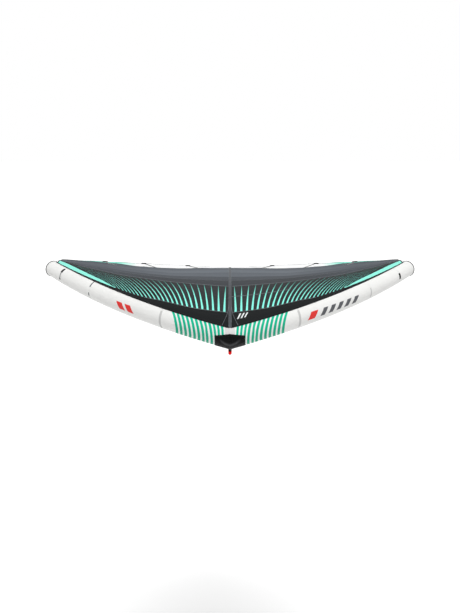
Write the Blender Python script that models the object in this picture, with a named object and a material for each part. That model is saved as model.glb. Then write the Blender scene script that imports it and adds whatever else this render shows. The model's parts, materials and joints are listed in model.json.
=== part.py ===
# An inflatable wingfoil wing: a swept leading edge tube, a centre strut, a panelled canopy, three
# handles and the inflation fittings.
#
# Lengths are in metres. Every shape is worked out around the nose: the leading edge tube's centre
# there is the construction origin, X runs to the right tip, Y aft and Z up. The finished wing is
# then placed so that the centre of its front grip lies at the world origin.

import bpy
from math import ceil, cos, degrees, floor, pi, radians, sin
from mathutils import Matrix, Vector

# Fits shared by all pieces
GAP = 0.0003            # clearance between neighbours
SKIN_GAP = 0.0005       # clearance under a patch that follows a faceted tube
OVERRUN = 0.004         # how far a cutter passes the face it opens

# Leading edge tube
TUBE_REACH = 1.53       # nose to the tube's last ring, along X
TUBE_SWEEP = 1.307      # how far aft of the nose that ring lies
TUBE_RISE = 0.2125      # how far above the nose it lies
SWEEP_SHARES = (0.5385, 0.2149, 0.2466)
NOSE_RADIUS = 0.115
TIP_RADIUS = 0.066
TAPER_POWER = 1.3
SLEEVE_WALL = 0.002
BLADDER_WALL = 0.001
RING_SHARES = (0, 0.039, 0.078, 0.144, 0.2, 0.255, 0.307, 0.405, 0.51, 0.575, 0.64, 0.7,
               0.77, 0.835, 0.893, 0.98, 1)
PANEL_RINGS = {"inner": (0, 6), "middle": (6, 11), "outer": (11, 14), "tip": (14, 16)}
MITRE_SHARE = 0.078     # of the reach: rings inboard of it lean towards the centre plane
WRAP_STEPS = 3          # facets of the tube that lie under the canopy
REST_STEPS = 21         # facets round the rest of the tube
BLADDER_SKIP = 3        # the bladder has a corner at every third one of these
TIP_CAP_BULGE = 0.012
CAP_RADIUS_SHARES = (1, 1, 0.8, 0.45)
CAP_HEIGHT_SHARES = (0, 0.25, 0.75, 0.95)

# Canopy
CLOTH = 0.0015
ROOT_LENGTH = 2.08      # nose to the trailing edge at the centre
TIP_CORNER_X = 1.47
TRAIL_SWEEP = 0.58      # how far forward the trailing edge's corner lies of its centre
TRAIL_HEIGHT = 0.065
TRAIL_RISE = 0.19
TRAIL_SWEEP_SHARES = (0.3, 0.7)
TRAIL_RISE_SHARES = (0.544, 0.456)
ATTACH_DEGREES = (38, 14, 50)
WRAP_DEGREES = (6, 22)
WRAP_POWER = 1.5
FRONT_SLOPE_DEGREES = (22, -8)
REAR_SLOPE_DEGREES = (-8.5, 7)
REAR_SLOPE_SPREAD = 0.5
CANOPY_RINGS = 15       # the canopy ends at this ring of the tube
FRONT_SEAM_SHARES = ((0, 0.05), (0.35, 0.036), (0.45, 0.018), (0.98, 0.012))
MAIN_SEAM_SHARES = ((0, 0.28), (0.353, 0.262), (0.588, 0.235), (0.817, 0.25), (0.98, 0.36))
WEDGE_SEAM_SHARES = ((0.51, 0.018), (0.588, 0.022), (0.673, 0.058), (0.755, 0.093),
                     (0.817, 0.123), (0.882, 0.178), (0.941, 0.25), (0.98, 0.31))
TRAIL_SEAM_SHARES = ((0, 0.93), (0.144, 0.9), (0.353, 0.885), (0.588, 0.87), (0.755, 0.86),
                     (0.882, 0.88), (0.98, 0.9))
WEDGE_FIRST_RING = 8
MAIN_STEPS = 4
REAR_STEPS = 7
TRAIL_STEPS = 1
WEDGE_STEPS = 1
SPINE_HALF_WIDTH = 0.015
SPINE_FLARE = 0.058     # half width of the spine tape where it meets the leading edge
SPINE_THICKNESS = 0.0012

# Battens, sewn on the canopy near its trailing edge
BATTEN_X = (0.275, 0.675, 1.01)
BATTEN_LENGTH = 0.24
BATTEN_WIDTH = 0.012
BATTEN_THICKNESS = 0.002
BATTEN_SPLAY = 0.12     # how far a batten's rear end lies outboard of its front end
BATTEN_END_GAP = 0.012  # batten's rear end to the trailing edge
BATTEN_STEPS = 4
BATTEN_GAP = 0.0009     # under a batten, which bridges the canopy's facets

# Nose
GUARD_HALF_WIDTH = 0.112
GUARD_TOP_DEGREES = (16.5, -4)
GUARD_BOTTOM_DEGREES = (-84, -84)
GUARD_THICKNESS = 0.0015
SEAM_PATCH_HALF_WIDTH = 0.035
SEAM_PATCH_THICKNESS = 0.001
PATCH_SPACE = 0.002     # between the nose patches
PATCH_STEPS = 4
PATCH_CREEP = 0.001     # least step between a patch's lines where its edge cuts them off

# Centre strut
STRUT_FRONT_RADIUS = 0.098
STRUT_REAR_RADIUS = 0.045
STRUT_TAPER_POWER = 1.3
STRUT_SIDES = 20
STRUT_END_SHARE = 0.965
STRUT_SEAM_STEPS = 2     # the strut's two sleeves meet at this line of the rear panel
STRUT_BLADDER_SHARES = (0.1075, 0.96)
STRUT_CAP_BULGE = 0.014
BLADDER_CAP_SPACE = 0.006

# Inflation valve, on the right of the nose
VALVE_SHARE = 0.144
VALVE_DEGREES = -120
VALVE_FLANGE_RADIUS = 0.03
VALVE_FLANGE_DEPTH = 0.008
VALVE_FLANGE_TOP = 0.003
VALVE_NECK_RADIUS = 0.014
VALVE_NECK_DEPTH = 0.02
VALVE_COLLAR_RADIUS = 0.018
VALVE_COLLAR_TOP = 0.008
VALVE_BORE_RADIUS = 0.009
VALVE_SIDES = 16
VALVE_HINGE_REACH = 0.025
VALVE_HINGE_RADIUS = 0.0022
VALVE_HINGE_LENGTH = 0.01
VALVE_EAR_WIDTH = 0.003
VALVE_EAR_LENGTH = 0.006
CAP_THICKNESS = 0.0035
CAP_PLUG_PLAY = 0.0009
CAP_PLUG_DEPTH = 0.003
CAP_TONGUE_WIDTH = 0.008
FLAP_RADIUS = 0.0115
FLAP_THICKNESS = 0.0015
FLAP_SIDES = 12

# One-pump hose from the leading edge to the strut, on the left
HOSE_RADIUS = 0.0075
HOSE_STEPS = 7          # points on each side of the clamp
HOSE_PULL = 0.07        # how far the hose follows each fitting's axis before it bends away
FITTING_FLANGE_RADIUS = 0.017
FITTING_FLANGE_DEPTH = 0.006
FITTING_FLANGE_TOP = 0.0025
FITTING_NECK_RADIUS = 0.006
FITTING_NECK_DEPTH = 0.012
FITTING_STUB = 0.014
FITTING_BORE_RADIUS = 0.0035
FITTING_SIDES = 12
TUBE_FITTING_SHARE = 0.17
TUBE_FITTING_DEGREES = -158
STRUT_FITTING_SHARE = 0.19
STRUT_FITTING_DEGREES = -22
CLAMP_LENGTH = 0.02
CLAMP_HALF_WIDTH = 0.0125
CLAMP_BORE_PLAY = 0.0005
CLAMP_PIN_RADIUS = 0.0022
CLAMP_LEVER_LENGTH = 0.03
CLAMP_LEVER_THICKNESS = 0.003
CLAMP_EYE_RADIUS = 0.0048
CLAMP_LEVER_WIDTH = 0.006

# Neutral handle under the nose
ANCHOR_FRONT_DEGREES = -103
ANCHOR_REAR_SHARE = 0.158
ANCHOR_STANDOFF = 0.014
ANCHOR_HALF_WIDTH = 0.018
ANCHOR_LENGTH = 0.032   # the patch's reach away from the handle
ANCHOR_TOE = 0.002      # its reach towards the handle
ANCHOR_DEPTH = 0.012
ANCHOR_PATCH = 0.0025
TAB_HALF_WIDTH = 0.011
TAB_HALF_HEIGHT = 0.0095
NEUTRAL_CORE_RADIUS = 0.0085
NEUTRAL_DROP = 0.122
NEUTRAL_ALONG_SHARES = (0.035, 0.1, 0.2, 0.36, 0.55, 0.74, 0.89, 0.965)
NEUTRAL_DROP_SHARES = (0, 0.4, 0.84, 1, 0.95, 0.72, 0.28, 0)
NEUTRAL_STEPS = 2
NEUTRAL_SIDES = 10
WRAP_THICKNESS = 0.003
WRAP_END_SHARES = (0.2, 0.86)
WRAP_FIRST_SIDE = -1
WRAP_LAST_SIDE = 6

# Front and rear handles on the strut
FRONT_HANDLE_SHARE = 0.3
REAR_HANDLE_SHARE = 0.62
HANDLE_SPAN = 0.17      # between the middles of a handle's legs
HANDLE_HEIGHT = 0.074   # strut to the middle of the grip
BAR_RADIUS = 0.0105
BAR_BEND = 0.026
BAR_SIDES = 12
BEND_STEPS = 3
GRIP_THICKNESS = 0.0045
GRIP_END_SPACE = 0.004  # between the grip's end and the bar's bend
PAD_HALF_WIDTH = 0.028
PAD_OVERHANG = 0.042    # how far the pad passes each leg
PAD_TOP = 0.012
PAD_DEPTH = 0.02
FOOT_HALF_WIDTH = 0.018
FOOT_INNER = 0.016
FOOT_OUTER = 0.034
FOOT_THICKNESS = 0.005
SCREW_REACH = 0.024     # from a leg's middle to its screw
SCREW_RADIUS = 0.0025
SCREW_HEAD_RADIUS = 0.005
SCREW_HEAD = 0.0028
SCREW_LENGTH = 0.0105
SCREW_SIDES = 10

# Leash loop, between the front handle and the neutral handle
LEASH_SPACE = 0.04      # between its patch and the front handle's pad
LEASH_WIDTH = 0.025
LEASH_THICKNESS = 0.002
LEASH_HEIGHT = 0.04
LEASH_RADIUS = 0.0095
LEASH_ROOT_RADIUS = 0.002
LEASH_ROOT_STEPS = 4
LEASH_EYE_HALF_WIDTH = 0.0007
LEASH_EYE_START = 0.003 # the line it swings on to the eye's narrow end
LEASH_PATCH_HALF_LENGTH = 0.022
LEASH_PATCH_HALF_WIDTH = 0.02
LEASH_PATCH_TOP = 0.003
LEASH_PATCH_DEPTH = 0.01
LEASH_STEPS = 9         # odd, so that the loop's end is flat

SMOOTH_DEGREES = 40
CURVE_STEP = 0.001      # share of a curve between two points that give its direction
HALVINGS = 30           # steps of the search for a share

# Colour, roughness and metallic value of each finish
FINISHES = {
    "white dacron": ((0.83, 0.83, 0.82), 0.5, 0.0),
    "clear bladder": ((0.7, 0.76, 0.78), 0.3, 0.0),
    "black cloth": ((0.02, 0.021, 0.023), 0.6, 0.0),
    "charcoal cloth": ((0.06, 0.065, 0.07), 0.6, 0.0),
    "grey cloth": ((0.14, 0.16, 0.19), 0.5, 0.0),
    "white cloth": ((0.8, 0.82, 0.82), 0.5, 0.0),
    "aqua cloth": ((0.2, 0.86, 0.68), 0.5, 0.0),
    "grey tape": ((0.2, 0.22, 0.23), 0.6, 0.0),
    "light grey patch": ((0.62, 0.64, 0.65), 0.6, 0.0),
    "black rubber": ((0.012, 0.012, 0.013), 0.45, 0.0),
    "black foam": ((0.02, 0.02, 0.021), 0.8, 0.0),
    "black webbing": ((0.016, 0.016, 0.017), 0.8, 0.0),
    "red webbing": ((0.7, 0.03, 0.02), 0.7, 0.0),
    "red plastic": ((0.6, 0.03, 0.02), 0.4, 0.0),
    "black plastic": ((0.025, 0.025, 0.027), 0.4, 0.0),
    "grey plastic": ((0.2, 0.21, 0.22), 0.4, 0.0),
    "clear hose": ((0.5, 0.55, 0.57), 0.25, 0.0),
    "steel": ((0.6, 0.6, 0.6), 0.3, 1.0),
    "glass fibre": ((0.03, 0.03, 0.03), 0.4, 0.0),
}


# Curves that the whole wing follows

def between(pairs, share):
    first = pairs[0]
    for second in pairs[1:]:
        if share <= second[0]:
            part = (share - first[0]) / (second[0] - first[0])
            return first[1] + (second[1] - first[1]) * part
        first = second
    return first[1]


def tube_centre(share):
    straight, squared, cubed = SWEEP_SHARES
    sweep = straight * share + squared * share ** 2 + cubed * share ** 3
    return Vector((TUBE_REACH * share, TUBE_SWEEP * sweep, TUBE_RISE * share))


def tube_heading(share):
    straight, squared, cubed = SWEEP_SHARES
    sweep = straight + 2 * squared * share + 3 * cubed * share ** 2
    return Vector((TUBE_REACH, TUBE_SWEEP * sweep, TUBE_RISE)).normalized()


def tube_radius(share):
    return NOSE_RADIUS + (TIP_RADIUS - NOSE_RADIUS) * share ** TAPER_POWER


def attach_angle(share):
    level, straight, squared = ATTACH_DEGREES
    return radians(level + straight * share + squared * share ** 2)


def wrap_angle(share):
    least, more = WRAP_DEGREES
    return radians(least + more * (1 - share) ** WRAP_POWER)


def facet_angle(share, facet):
    # The tube's corners: the first few lie under the canopy, the rest go on round the tube.
    if facet <= WRAP_STEPS:
        return attach_angle(share) + wrap_angle(share) * facet / WRAP_STEPS
    turn = (2 * pi - wrap_angle(share)) * (facet - WRAP_STEPS) / REST_STEPS
    return attach_angle(share) + wrap_angle(share) + turn


def facet_of(share, degrees):
    # The corner number, with its fraction, at an angle above the tube's front.
    turn = radians(degrees) - attach_angle(share) - wrap_angle(share)
    turn = turn % (2 * pi)
    return WRAP_STEPS + REST_STEPS * turn / (2 * pi - wrap_angle(share))


def tube_outward(share, angle):
    heading = tube_heading(share)
    up = Vector((0, 0, 1))
    up = (up - heading * heading.z).normalized()
    front = up.cross(heading)
    if front.y > 0:
        front = -front
    return front * cos(angle) + up * sin(angle)


def tube_corner(share, facet, lift):
    outward = tube_outward(share, facet_angle(share, facet))
    place = tube_centre(share) + outward * (tube_radius(share) + lift)
    lean = max(0, 1 - share / MITRE_SHARE)
    heading = tube_heading(share)
    slide = (place.x - TUBE_REACH * share) / heading.x
    return place - heading * slide * lean


def tube_point(share, facet, lift):
    # A point on the faceted tube, so a fractional facet lies on the flat between two corners.
    low = floor(facet)
    part = facet - low
    place = tube_corner(share, low, lift)
    if part == 0:
        return place
    return place.lerp(tube_corner(share, low + 1, lift), part)


def trailing_point(x):
    share = x / TIP_CORNER_X
    sweep = TRAIL_SWEEP_SHARES[0] * share + TRAIL_SWEEP_SHARES[1] * share ** 2
    rise = TRAIL_RISE_SHARES[0] * share + TRAIL_RISE_SHARES[1] * share ** 2
    return Vector((x, ROOT_LENGTH - TRAIL_SWEEP * sweep, TRAIL_HEIGHT + TRAIL_RISE * rise))


def slope_direction(degrees):
    return Vector((0, cos(radians(degrees)), sin(radians(degrees))))


def canopy_top(share, chord):
    # The cloth's outer face. From -1 to 0 it lies on the tube, from 0 to 1 it runs aft.
    if chord <= 0:
        return tube_point(share, WRAP_STEPS * (1 + chord), GAP + CLOTH)
    start = tube_point(share, WRAP_STEPS, GAP + CLOTH)
    end = trailing_point(start.x)
    length = (end - start).length
    front = FRONT_SLOPE_DEGREES[0] + FRONT_SLOPE_DEGREES[1] * share
    spread = min(1, start.x / REAR_SLOPE_SPREAD)
    rear = REAR_SLOPE_DEGREES[0] + REAR_SLOPE_DEGREES[1] * spread
    leave = slope_direction(front) * length
    arrive = slope_direction(rear) * length
    cube = chord ** 3
    square = chord ** 2
    place = start * (2 * cube - 3 * square + 1) + leave * (cube - 2 * square + chord)
    return place + end * (3 * square - 2 * cube) + arrive * (cube - square)


def canopy_up(share, chord):
    low = max(CURVE_STEP, chord - CURVE_STEP)
    along = canopy_top(share, low + 2 * CURVE_STEP) - canopy_top(share, low)
    inner = max(0, share - CURVE_STEP)
    line = max(CURVE_STEP, chord)
    across = canopy_top(inner + 2 * CURVE_STEP, line) - canopy_top(inner, line)
    return across.cross(along).normalized()


def canopy_point(share, chord, depth):
    if chord <= 0:
        return tube_point(share, WRAP_STEPS * (1 + chord), GAP + CLOTH - depth)
    return canopy_top(share, chord) - canopy_up(share, chord) * depth


def chord_length(share):
    start = tube_point(share, WRAP_STEPS, GAP)
    return (trailing_point(start.x) - start).length


def centre_line(chord):
    place = canopy_top(0, chord)
    return Vector((0, place.y, place.z))


def strut_frame(chord):
    # The canopy's underside on the centre line, the direction aft and the direction down.
    aft = (centre_line(chord + CURVE_STEP) - centre_line(chord)).normalized()
    down = Vector((0, aft.z, -aft.y))
    return centre_line(chord) + down * CLOTH, aft, down


def strut_radius(chord):
    return STRUT_FRONT_RADIUS + (STRUT_REAR_RADIUS - STRUT_FRONT_RADIUS) * chord ** STRUT_TAPER_POWER


def strut_centre(chord):
    top, _, down = strut_frame(chord)
    return top + down * (GAP + strut_radius(chord))


def strut_outward(chord, angle):
    _, _, down = strut_frame(chord)
    return Vector((cos(angle), 0, 0)) - down * sin(angle)


def strut_corner(chord, number, lift, sides=STRUT_SIDES):
    angle = pi / 2 + 2 * pi * number / sides
    return strut_centre(chord) + strut_outward(chord, angle) * (strut_radius(chord) + lift)


# Meshes: a list of corners and a list of faces, all facing out

def enclosed(corners, faces):
    volume = 0
    for face in faces:
        first = corners[face[0]]
        for second, third in zip(face[1:], face[2:]):
            volume += first.dot(corners[second].cross(corners[third]))
    return volume


def facing_out(corners, faces):
    if enclosed(corners, faces) < 0:
        faces = [tuple(reversed(face)) for face in faces]
    return corners, faces


def facing_in(corners, faces):
    corners, faces = facing_out(corners, faces)
    return corners, [tuple(reversed(face)) for face in faces]


def joined(meshes):
    corners = []
    faces = []
    for more_corners, more_faces in meshes:
        shift = len(corners)
        corners = corners + list(more_corners)
        faces = faces + [tuple(number + shift for number in face) for face in more_faces]
    return corners, faces


def mirrored(mesh):
    corners, faces = mesh
    return facing_out([Vector((-place.x, place.y, place.z)) for place in corners], faces)


def loft(rings):
    # A closed body through rings of corners, with flat ends.
    count = len(rings[0])
    corners = [place for ring in rings for place in ring]
    faces = []
    for row in range(len(rings) - 1):
        for number in range(count):
            after = (number + 1) % count
            here = row * count
            there = here + count
            faces.append((here + number, here + after, there + after))
            faces.append((here + number, there + after, there + number))
    faces.append(tuple(reversed(range(count))))
    faces.append(tuple(range((len(rings) - 1) * count, len(rings) * count)))
    return facing_out(corners, faces)


def tube_wall(outer, inner):
    # An open tube wall between an outer and an inner row of rings.
    count = len(outer[0])
    rows = len(outer)
    corners = [place for ring in outer for place in ring]
    corners = corners + [place for ring in inner for place in ring]
    inside = rows * count
    faces = []
    for row in range(rows - 1):
        for number in range(count):
            after = (number + 1) % count
            here = row * count
            there = here + count
            faces.append((here + number, here + after, there + after))
            faces.append((here + number, there + after, there + number))
            faces.append((inside + here + number, inside + there + after, inside + here + after))
            faces.append((inside + here + number, inside + there + number, inside + there + after))
    last = (rows - 1) * count
    for number in range(count):
        after = (number + 1) % count
        faces.append((number, inside + after, after))
        faces.append((number, inside + number, inside + after))
        faces.append((last + number, last + after, inside + last + after))
        faces.append((last + number, inside + last + after, inside + last + number))
    return facing_out(corners, faces)


def sheet(top, under):
    # A thin closed body between two grids of corners.
    rows = len(top)
    count = len(top[0])
    corners = [place for row in top for place in row]
    corners = corners + [place for row in under for place in row]
    below = rows * count
    faces = []
    for row in range(rows - 1):
        for number in range(count - 1):
            one = row * count + number
            two = one + 1
            three = two + count
            four = one + count
            faces.append((one, two, three))
            faces.append((one, three, four))
            faces.append((below + one, below + three, below + two))
            faces.append((below + one, below + four, below + three))
    edge = [number for number in range(count)]
    edge = edge + [row * count + count - 1 for row in range(1, rows)]
    edge = edge + [(rows - 1) * count + number for number in range(count - 2, -1, -1)]
    edge = edge + [row * count for row in range(rows - 2, 0, -1)]
    for one, two in zip(edge, edge[1:] + edge[:1]):
        faces.append((one, below + one, below + two))
        faces.append((one, below + two, two))
    return facing_out(corners, faces)


def circle(radius, sides):
    turns = [2 * pi * number / sides for number in range(sides)]
    return [(radius * cos(turn), radius * sin(turn)) for turn in turns]


def turned(frame, profile, sides):
    # A body turned round the frame's Z axis from (radius, height) pairs, closed at both ends.
    rings = []
    for radius, height in profile:
        ring = circle(radius, sides)
        rings.append([frame @ Vector((x, y, height)) for x, y in ring])
    return loft(rings)


def turned_wall(frame, outline, sides):
    # A bored body: a closed outline of (radius, height) pairs turned round the frame's Z axis.
    count = len(outline)
    corners = []
    faces = []
    for side in range(sides):
        turn = 2 * pi * side / sides
        for radius, height in outline:
            corners.append(frame @ Vector((radius * cos(turn), radius * sin(turn), height)))
        here = side * count
        there = (side + 1) % sides * count
        for number in range(count):
            after = (number + 1) % count
            faces.append((here + number, here + after, there + after, there + number))
    return facing_out(corners, faces)


def block(frame, low, high):
    # A box in the frame's own axes.
    rings = []
    for z in (low[2], high[2]):
        ring = ((low[0], low[1]), (high[0], low[1]), (high[0], high[1]), (low[0], high[1]))
        rings.append([frame @ Vector((x, y, z)) for x, y in ring])
    return loft(rings)


def prism(frame, outline, low, high):
    # An outline in the frame's Y and Z, drawn out along its X.
    rings = []
    for x in (low, high):
        rings.append([frame @ Vector((x, y, z)) for y, z in outline])
    return loft(rings)


def frame_of(place, side, along):
    # Axes at a place: X is the side direction, Y the direction along, Z square to both.
    out = side.cross(along).normalized()
    along = out.cross(side).normalized()
    turn = Matrix((side, along, out)).transposed().to_4x4()
    return Matrix.Translation(place) @ turn


def swept_rings(points, side, outline):
    # An outline carried along a line of points; its first axis keeps near the side direction.
    rings = []
    for number, place in enumerate(points):
        before = points[max(0, number - 1)]
        after = points[min(len(points) - 1, number + 1)]
        along = (after - before).normalized()
        out = along.cross(side).normalized()
        across = out.cross(along)
        rings.append([place + across * x + out * y for x, y in outline])
    return rings


def smooth_line(points, steps):
    # A Catmull-Rom curve through the points.
    line = []
    for number in range(len(points) - 1):
        before = points[max(0, number - 1)]
        here = points[number]
        there = points[number + 1]
        after = points[min(len(points) - 1, number + 2)]
        for step in range(steps):
            part = step / steps
            square = part ** 2
            cube = part ** 3
            place = before * (-cube + 2 * square - part) + here * (3 * cube - 5 * square + 2)
            place = place + there * (-3 * cube + 4 * square + part) + after * (cube - square)
            line.append(place / 2)
    line.append(points[-1])
    return line


# Objects

def clear_scene():
    for thing in list(bpy.data.objects):
        bpy.data.objects.remove(thing, do_unlink=True)


def make_material(name, finish):
    colour, roughness, metallic = FINISHES[finish]
    material = bpy.data.materials.new(name)
    material.use_nodes = True
    shader = material.node_tree.nodes["Principled BSDF"]
    shader.inputs["Base Color"].default_value = (*colour, 1)
    shader.inputs["Roughness"].default_value = roughness
    shader.inputs["Metallic"].default_value = metallic
    material.diffuse_color = (*colour, 1)
    return material


def make_empty(name, holder, place):
    empty = bpy.data.objects.new(name, None)
    bpy.context.collection.objects.link(empty)
    empty.parent = holder
    empty.location = place
    return empty


def make_object(name, mesh, finish, holder, origin=Vector((0, 0, 0))):
    corners, faces = mesh
    data = bpy.data.meshes.new(name)
    data.from_pydata([place - origin for place in corners], [], faces)
    data.validate()
    data.shade_smooth()
    data.set_sharp_from_angle(angle=radians(SMOOTH_DEGREES))
    thing = bpy.data.objects.new(name, data)
    bpy.context.collection.objects.link(thing)
    thing.parent = holder
    thing.location = origin
    if finish:
        data.materials.append(make_material(name, finish))
    return thing


def make_cutter(name, mesh, holder):
    cutter = make_object(name, mesh, None, holder)
    cutter.hide_render = True
    cutter.display_type = "WIRE"
    return cutter


def combine(thing, cutter, operation):
    modifier = thing.modifiers.new(cutter.name, "BOOLEAN")
    modifier.operation = operation
    modifier.object = cutter
    modifier.solver = "EXACT"


# Leading edge

def seam_share(ring, step):
    # The share at a ring, moved by half a gap so that neighbouring panels don't touch.
    return RING_SHARES[ring] + step * GAP / 2 / TUBE_REACH


def tube_rings(shares, lift, skip=1):
    facets = range(0, WRAP_STEPS + REST_STEPS, skip)
    return [[tube_corner(share, facet, lift) for facet in facets] for share in shares]


def sleeve_mesh(first, last):
    shares = [seam_share(first, 1)] + list(RING_SHARES[first + 1:last]) + [seam_share(last, -1)]
    return tube_wall(tube_rings(shares, 0), tube_rings(shares, -SLEEVE_WALL))


def make_sleeves(wing):
    sleeves = {}
    for panel, (first, last) in PANEL_RINGS.items():
        mesh = sleeve_mesh(first, last)
        for side, shape in (("right", mesh), ("left", mirrored(mesh))):
            name = f"le_sleeve_{panel}_{side}"
            sleeves[name] = make_object(name, shape, "white dacron", wing)
    return sleeves


def tip_cap_mesh():
    heading = tube_heading(1)
    rings = []
    for radius_share, height_share in zip(CAP_RADIUS_SHARES, CAP_HEIGHT_SHARES):
        middle = tube_centre(1) + heading * (GAP / 2 + TIP_CAP_BULGE * height_share)
        ring = []
        for facet in range(WRAP_STEPS + REST_STEPS):
            outward = tube_outward(1, facet_angle(1, facet))
            ring.append(middle + outward * tube_radius(1) * radius_share)
        rings.append(ring)
    return loft(rings)


def make_tip_caps(wing):
    mesh = tip_cap_mesh()
    make_object("tip_cap_right", mesh, "black rubber", wing)
    make_object("tip_cap_left", mirrored(mesh), "black rubber", wing)


def both_sides(rings):
    # Rings from the centre plane outwards, carried over to the other side.
    other = []
    for ring in reversed(rings[1:]):
        other.append([Vector((-place.x, place.y, place.z)) for place in ring])
    return other + rings


def make_le_bladder(wing):
    shares = list(RING_SHARES[:-1]) + [seam_share(-1, -2 * BLADDER_CAP_SPACE / GAP)]
    lift = -(SLEEVE_WALL + GAP)
    outer = loft(both_sides(tube_rings(shares, lift, BLADDER_SKIP)))
    inner_rings = tube_rings(shares, lift - BLADDER_WALL, BLADDER_SKIP)
    inner = facing_in(*loft(both_sides(inner_rings[:-1])))
    return make_object("le_bladder", joined((outer, inner)), "clear bladder", wing)


def make_tube_cutter(wing):
    shares = [share for share in RING_SHARES if share <= RING_SHARES[PANEL_RINGS["inner"][1]]]
    return make_cutter("tube_cutter", loft(both_sides(tube_rings(shares, GAP))), wing)


# Nose patches

def tube_point_at(x, facet, lift):
    # A point on the faceted tube at a distance x from the centre plane.
    near = tube_point(0, facet, lift)
    for share in RING_SHARES[1:]:
        far = tube_point(share, facet, lift)
        if far.x >= x:
            break
        near = far
    return near.lerp(far, (x - near.x) / (far.x - near.x))


def patch_mesh(half_width, top_degrees, bottom_degrees, lift, thickness):
    # A patch across the nose; each edge has one angle at the centre and one at the side.
    first = facet_of(0, max(bottom_degrees))
    last = facet_of(0, max(top_degrees))
    lines = range(ceil(first), ceil(last))
    creep = PATCH_CREEP / (TUBE_REACH * RING_SHARES[1])
    grids = []
    for level in (lift + thickness, lift):
        grid = []
        for step in range(PATCH_STEPS + 1):
            part = step / PATCH_STEPS
            low = facet_of(0, bottom_degrees[0] + (bottom_degrees[1] - bottom_degrees[0]) * part)
            high = facet_of(0, top_degrees[0] + (top_degrees[1] - top_degrees[0]) * part)
            facets = [low]
            for number, line in enumerate(lines):
                facets.append(min(line, high - (len(lines) - number) * creep))
            grid.append([tube_point_at(half_width * part, facet, level)
                         for facet in facets + [high]])
        grids.append(both_sides(grid))
    return sheet(*grids)


def make_nose_patches(wing):
    guard = patch_mesh(GUARD_HALF_WIDTH, GUARD_TOP_DEGREES, GUARD_BOTTOM_DEGREES, SKIN_GAP,
                       GUARD_THICKNESS)
    make_object("nose_guard", guard, "black rubber", wing)
    space = degrees(PATCH_SPACE / NOSE_RADIUS)
    share = SEAM_PATCH_HALF_WIDTH / GUARD_HALF_WIDTH
    side = GUARD_TOP_DEGREES[0] + (GUARD_TOP_DEGREES[1] - GUARD_TOP_DEGREES[0]) * share
    bottom = (GUARD_TOP_DEGREES[0] + space, side + space)
    top = (ATTACH_DEGREES[0] - space, ATTACH_DEGREES[0] - space)
    patch = patch_mesh(SEAM_PATCH_HALF_WIDTH, top, bottom, SKIN_GAP, SEAM_PATCH_THICKNESS)
    make_object("nose_seam_patch", patch, "light grey patch", wing)


# Canopy

def front_seam(share):
    return between(FRONT_SEAM_SHARES, share)


def main_seam(share):
    return between(MAIN_SEAM_SHARES, share)


def wedge_seam(share):
    return between(WEDGE_SEAM_SHARES, share)


def trail_seam(share):
    return between(TRAIL_SEAM_SHARES, share)


def main_front(share):
    if share < RING_SHARES[WEDGE_FIRST_RING]:
        return front_seam(share)
    return wedge_seam(share)


def panel_chords(share, low, high, steps, low_gap, high_gap):
    trim = GAP / 2 / chord_length(share)
    low = low + trim * low_gap
    high = high - trim * high_gap
    return [low + (high - low) * step / steps for step in range(steps + 1)]


def front_chords(share):
    wrap = [-1 + step / WRAP_STEPS for step in range(WRAP_STEPS)]
    return wrap + panel_chords(share, 0, front_seam(share), 1, 0, 1)


def main_chords(share):
    return panel_chords(share, main_front(share), main_seam(share), MAIN_STEPS, 1, 1)


def rear_chords(share):
    return panel_chords(share, main_seam(share), trail_seam(share), REAR_STEPS, 1, 1)


def trailing_chords(share):
    return panel_chords(share, trail_seam(share), 1, TRAIL_STEPS, 1, 0)


def wedge_chords(share):
    return panel_chords(share, front_seam(share), wedge_seam(share), WEDGE_STEPS, 1, 1)


PANELS = (
    ("canopy_front", "black cloth", front_chords, 0),
    ("canopy_main", "charcoal cloth", main_chords, 0),
    ("canopy_rear", "grey cloth", rear_chords, 0),
    ("canopy_trailing", "white cloth", trailing_chords, 0),
    ("canopy_tip", "aqua cloth", wedge_chords, WEDGE_FIRST_RING),
)


def canopy_mesh(chords_of, first_ring):
    shares = list(RING_SHARES[first_ring:CANOPY_RINGS + 1])
    if first_ring == 0:
        shares[0] = seam_share(0, 1)
    grids = []
    for depth in (0, CLOTH):
        grids.append([[canopy_point(share, chord, depth) for chord in chords_of(share)]
                      for share in shares])
    return sheet(*grids)


def make_canopy(wing):
    for name, finish, chords_of, first_ring in PANELS:
        mesh = canopy_mesh(chords_of, first_ring)
        make_object(f"{name}_right", mesh, finish, wing)
        make_object(f"{name}_left", mirrored(mesh), finish, wing)


def spine_half_width(chord):
    if chord >= front_seam(0):
        return SPINE_HALF_WIDTH
    part = (front_seam(0) - chord) / (front_seam(0) + 1)
    return SPINE_HALF_WIDTH + (SPINE_FLARE - SPINE_HALF_WIDTH) * part


def above_canopy(half_width, chord, lift):
    # A point over the flat between the canopy's first two rings.
    inner = canopy_point(0, chord, -lift)
    inner.x = 0
    outer = canopy_point(RING_SHARES[1], chord, -lift)
    return inner.lerp(outer, half_width / outer.x)


def make_spine_tape(wing):
    chords = front_chords(0) + main_chords(0)[1:] + rear_chords(0)[1:] + trailing_chords(0)[1:]
    grids = []
    for lift in (SKIN_GAP + SPINE_THICKNESS, SKIN_GAP):
        grid = []
        for chord in chords:
            side = above_canopy(spine_half_width(chord), chord, lift)
            middle = above_canopy(0, chord, lift)
            grid.append([Vector((-side.x, side.y, side.z)), middle, side])
        grids.append(grid)
    make_object("spine_tape", sheet(*grids), "grey tape", wing)


# Battens

def share_at(x, chord):
    # The share whose chord line passes a distance x from the centre plane.
    low = 0
    high = RING_SHARES[CANOPY_RINGS]
    for _ in range(HALVINGS):
        middle = (low + high) / 2
        if canopy_top(middle, chord).x < x:
            low = middle
        else:
            high = middle
    return low


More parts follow.
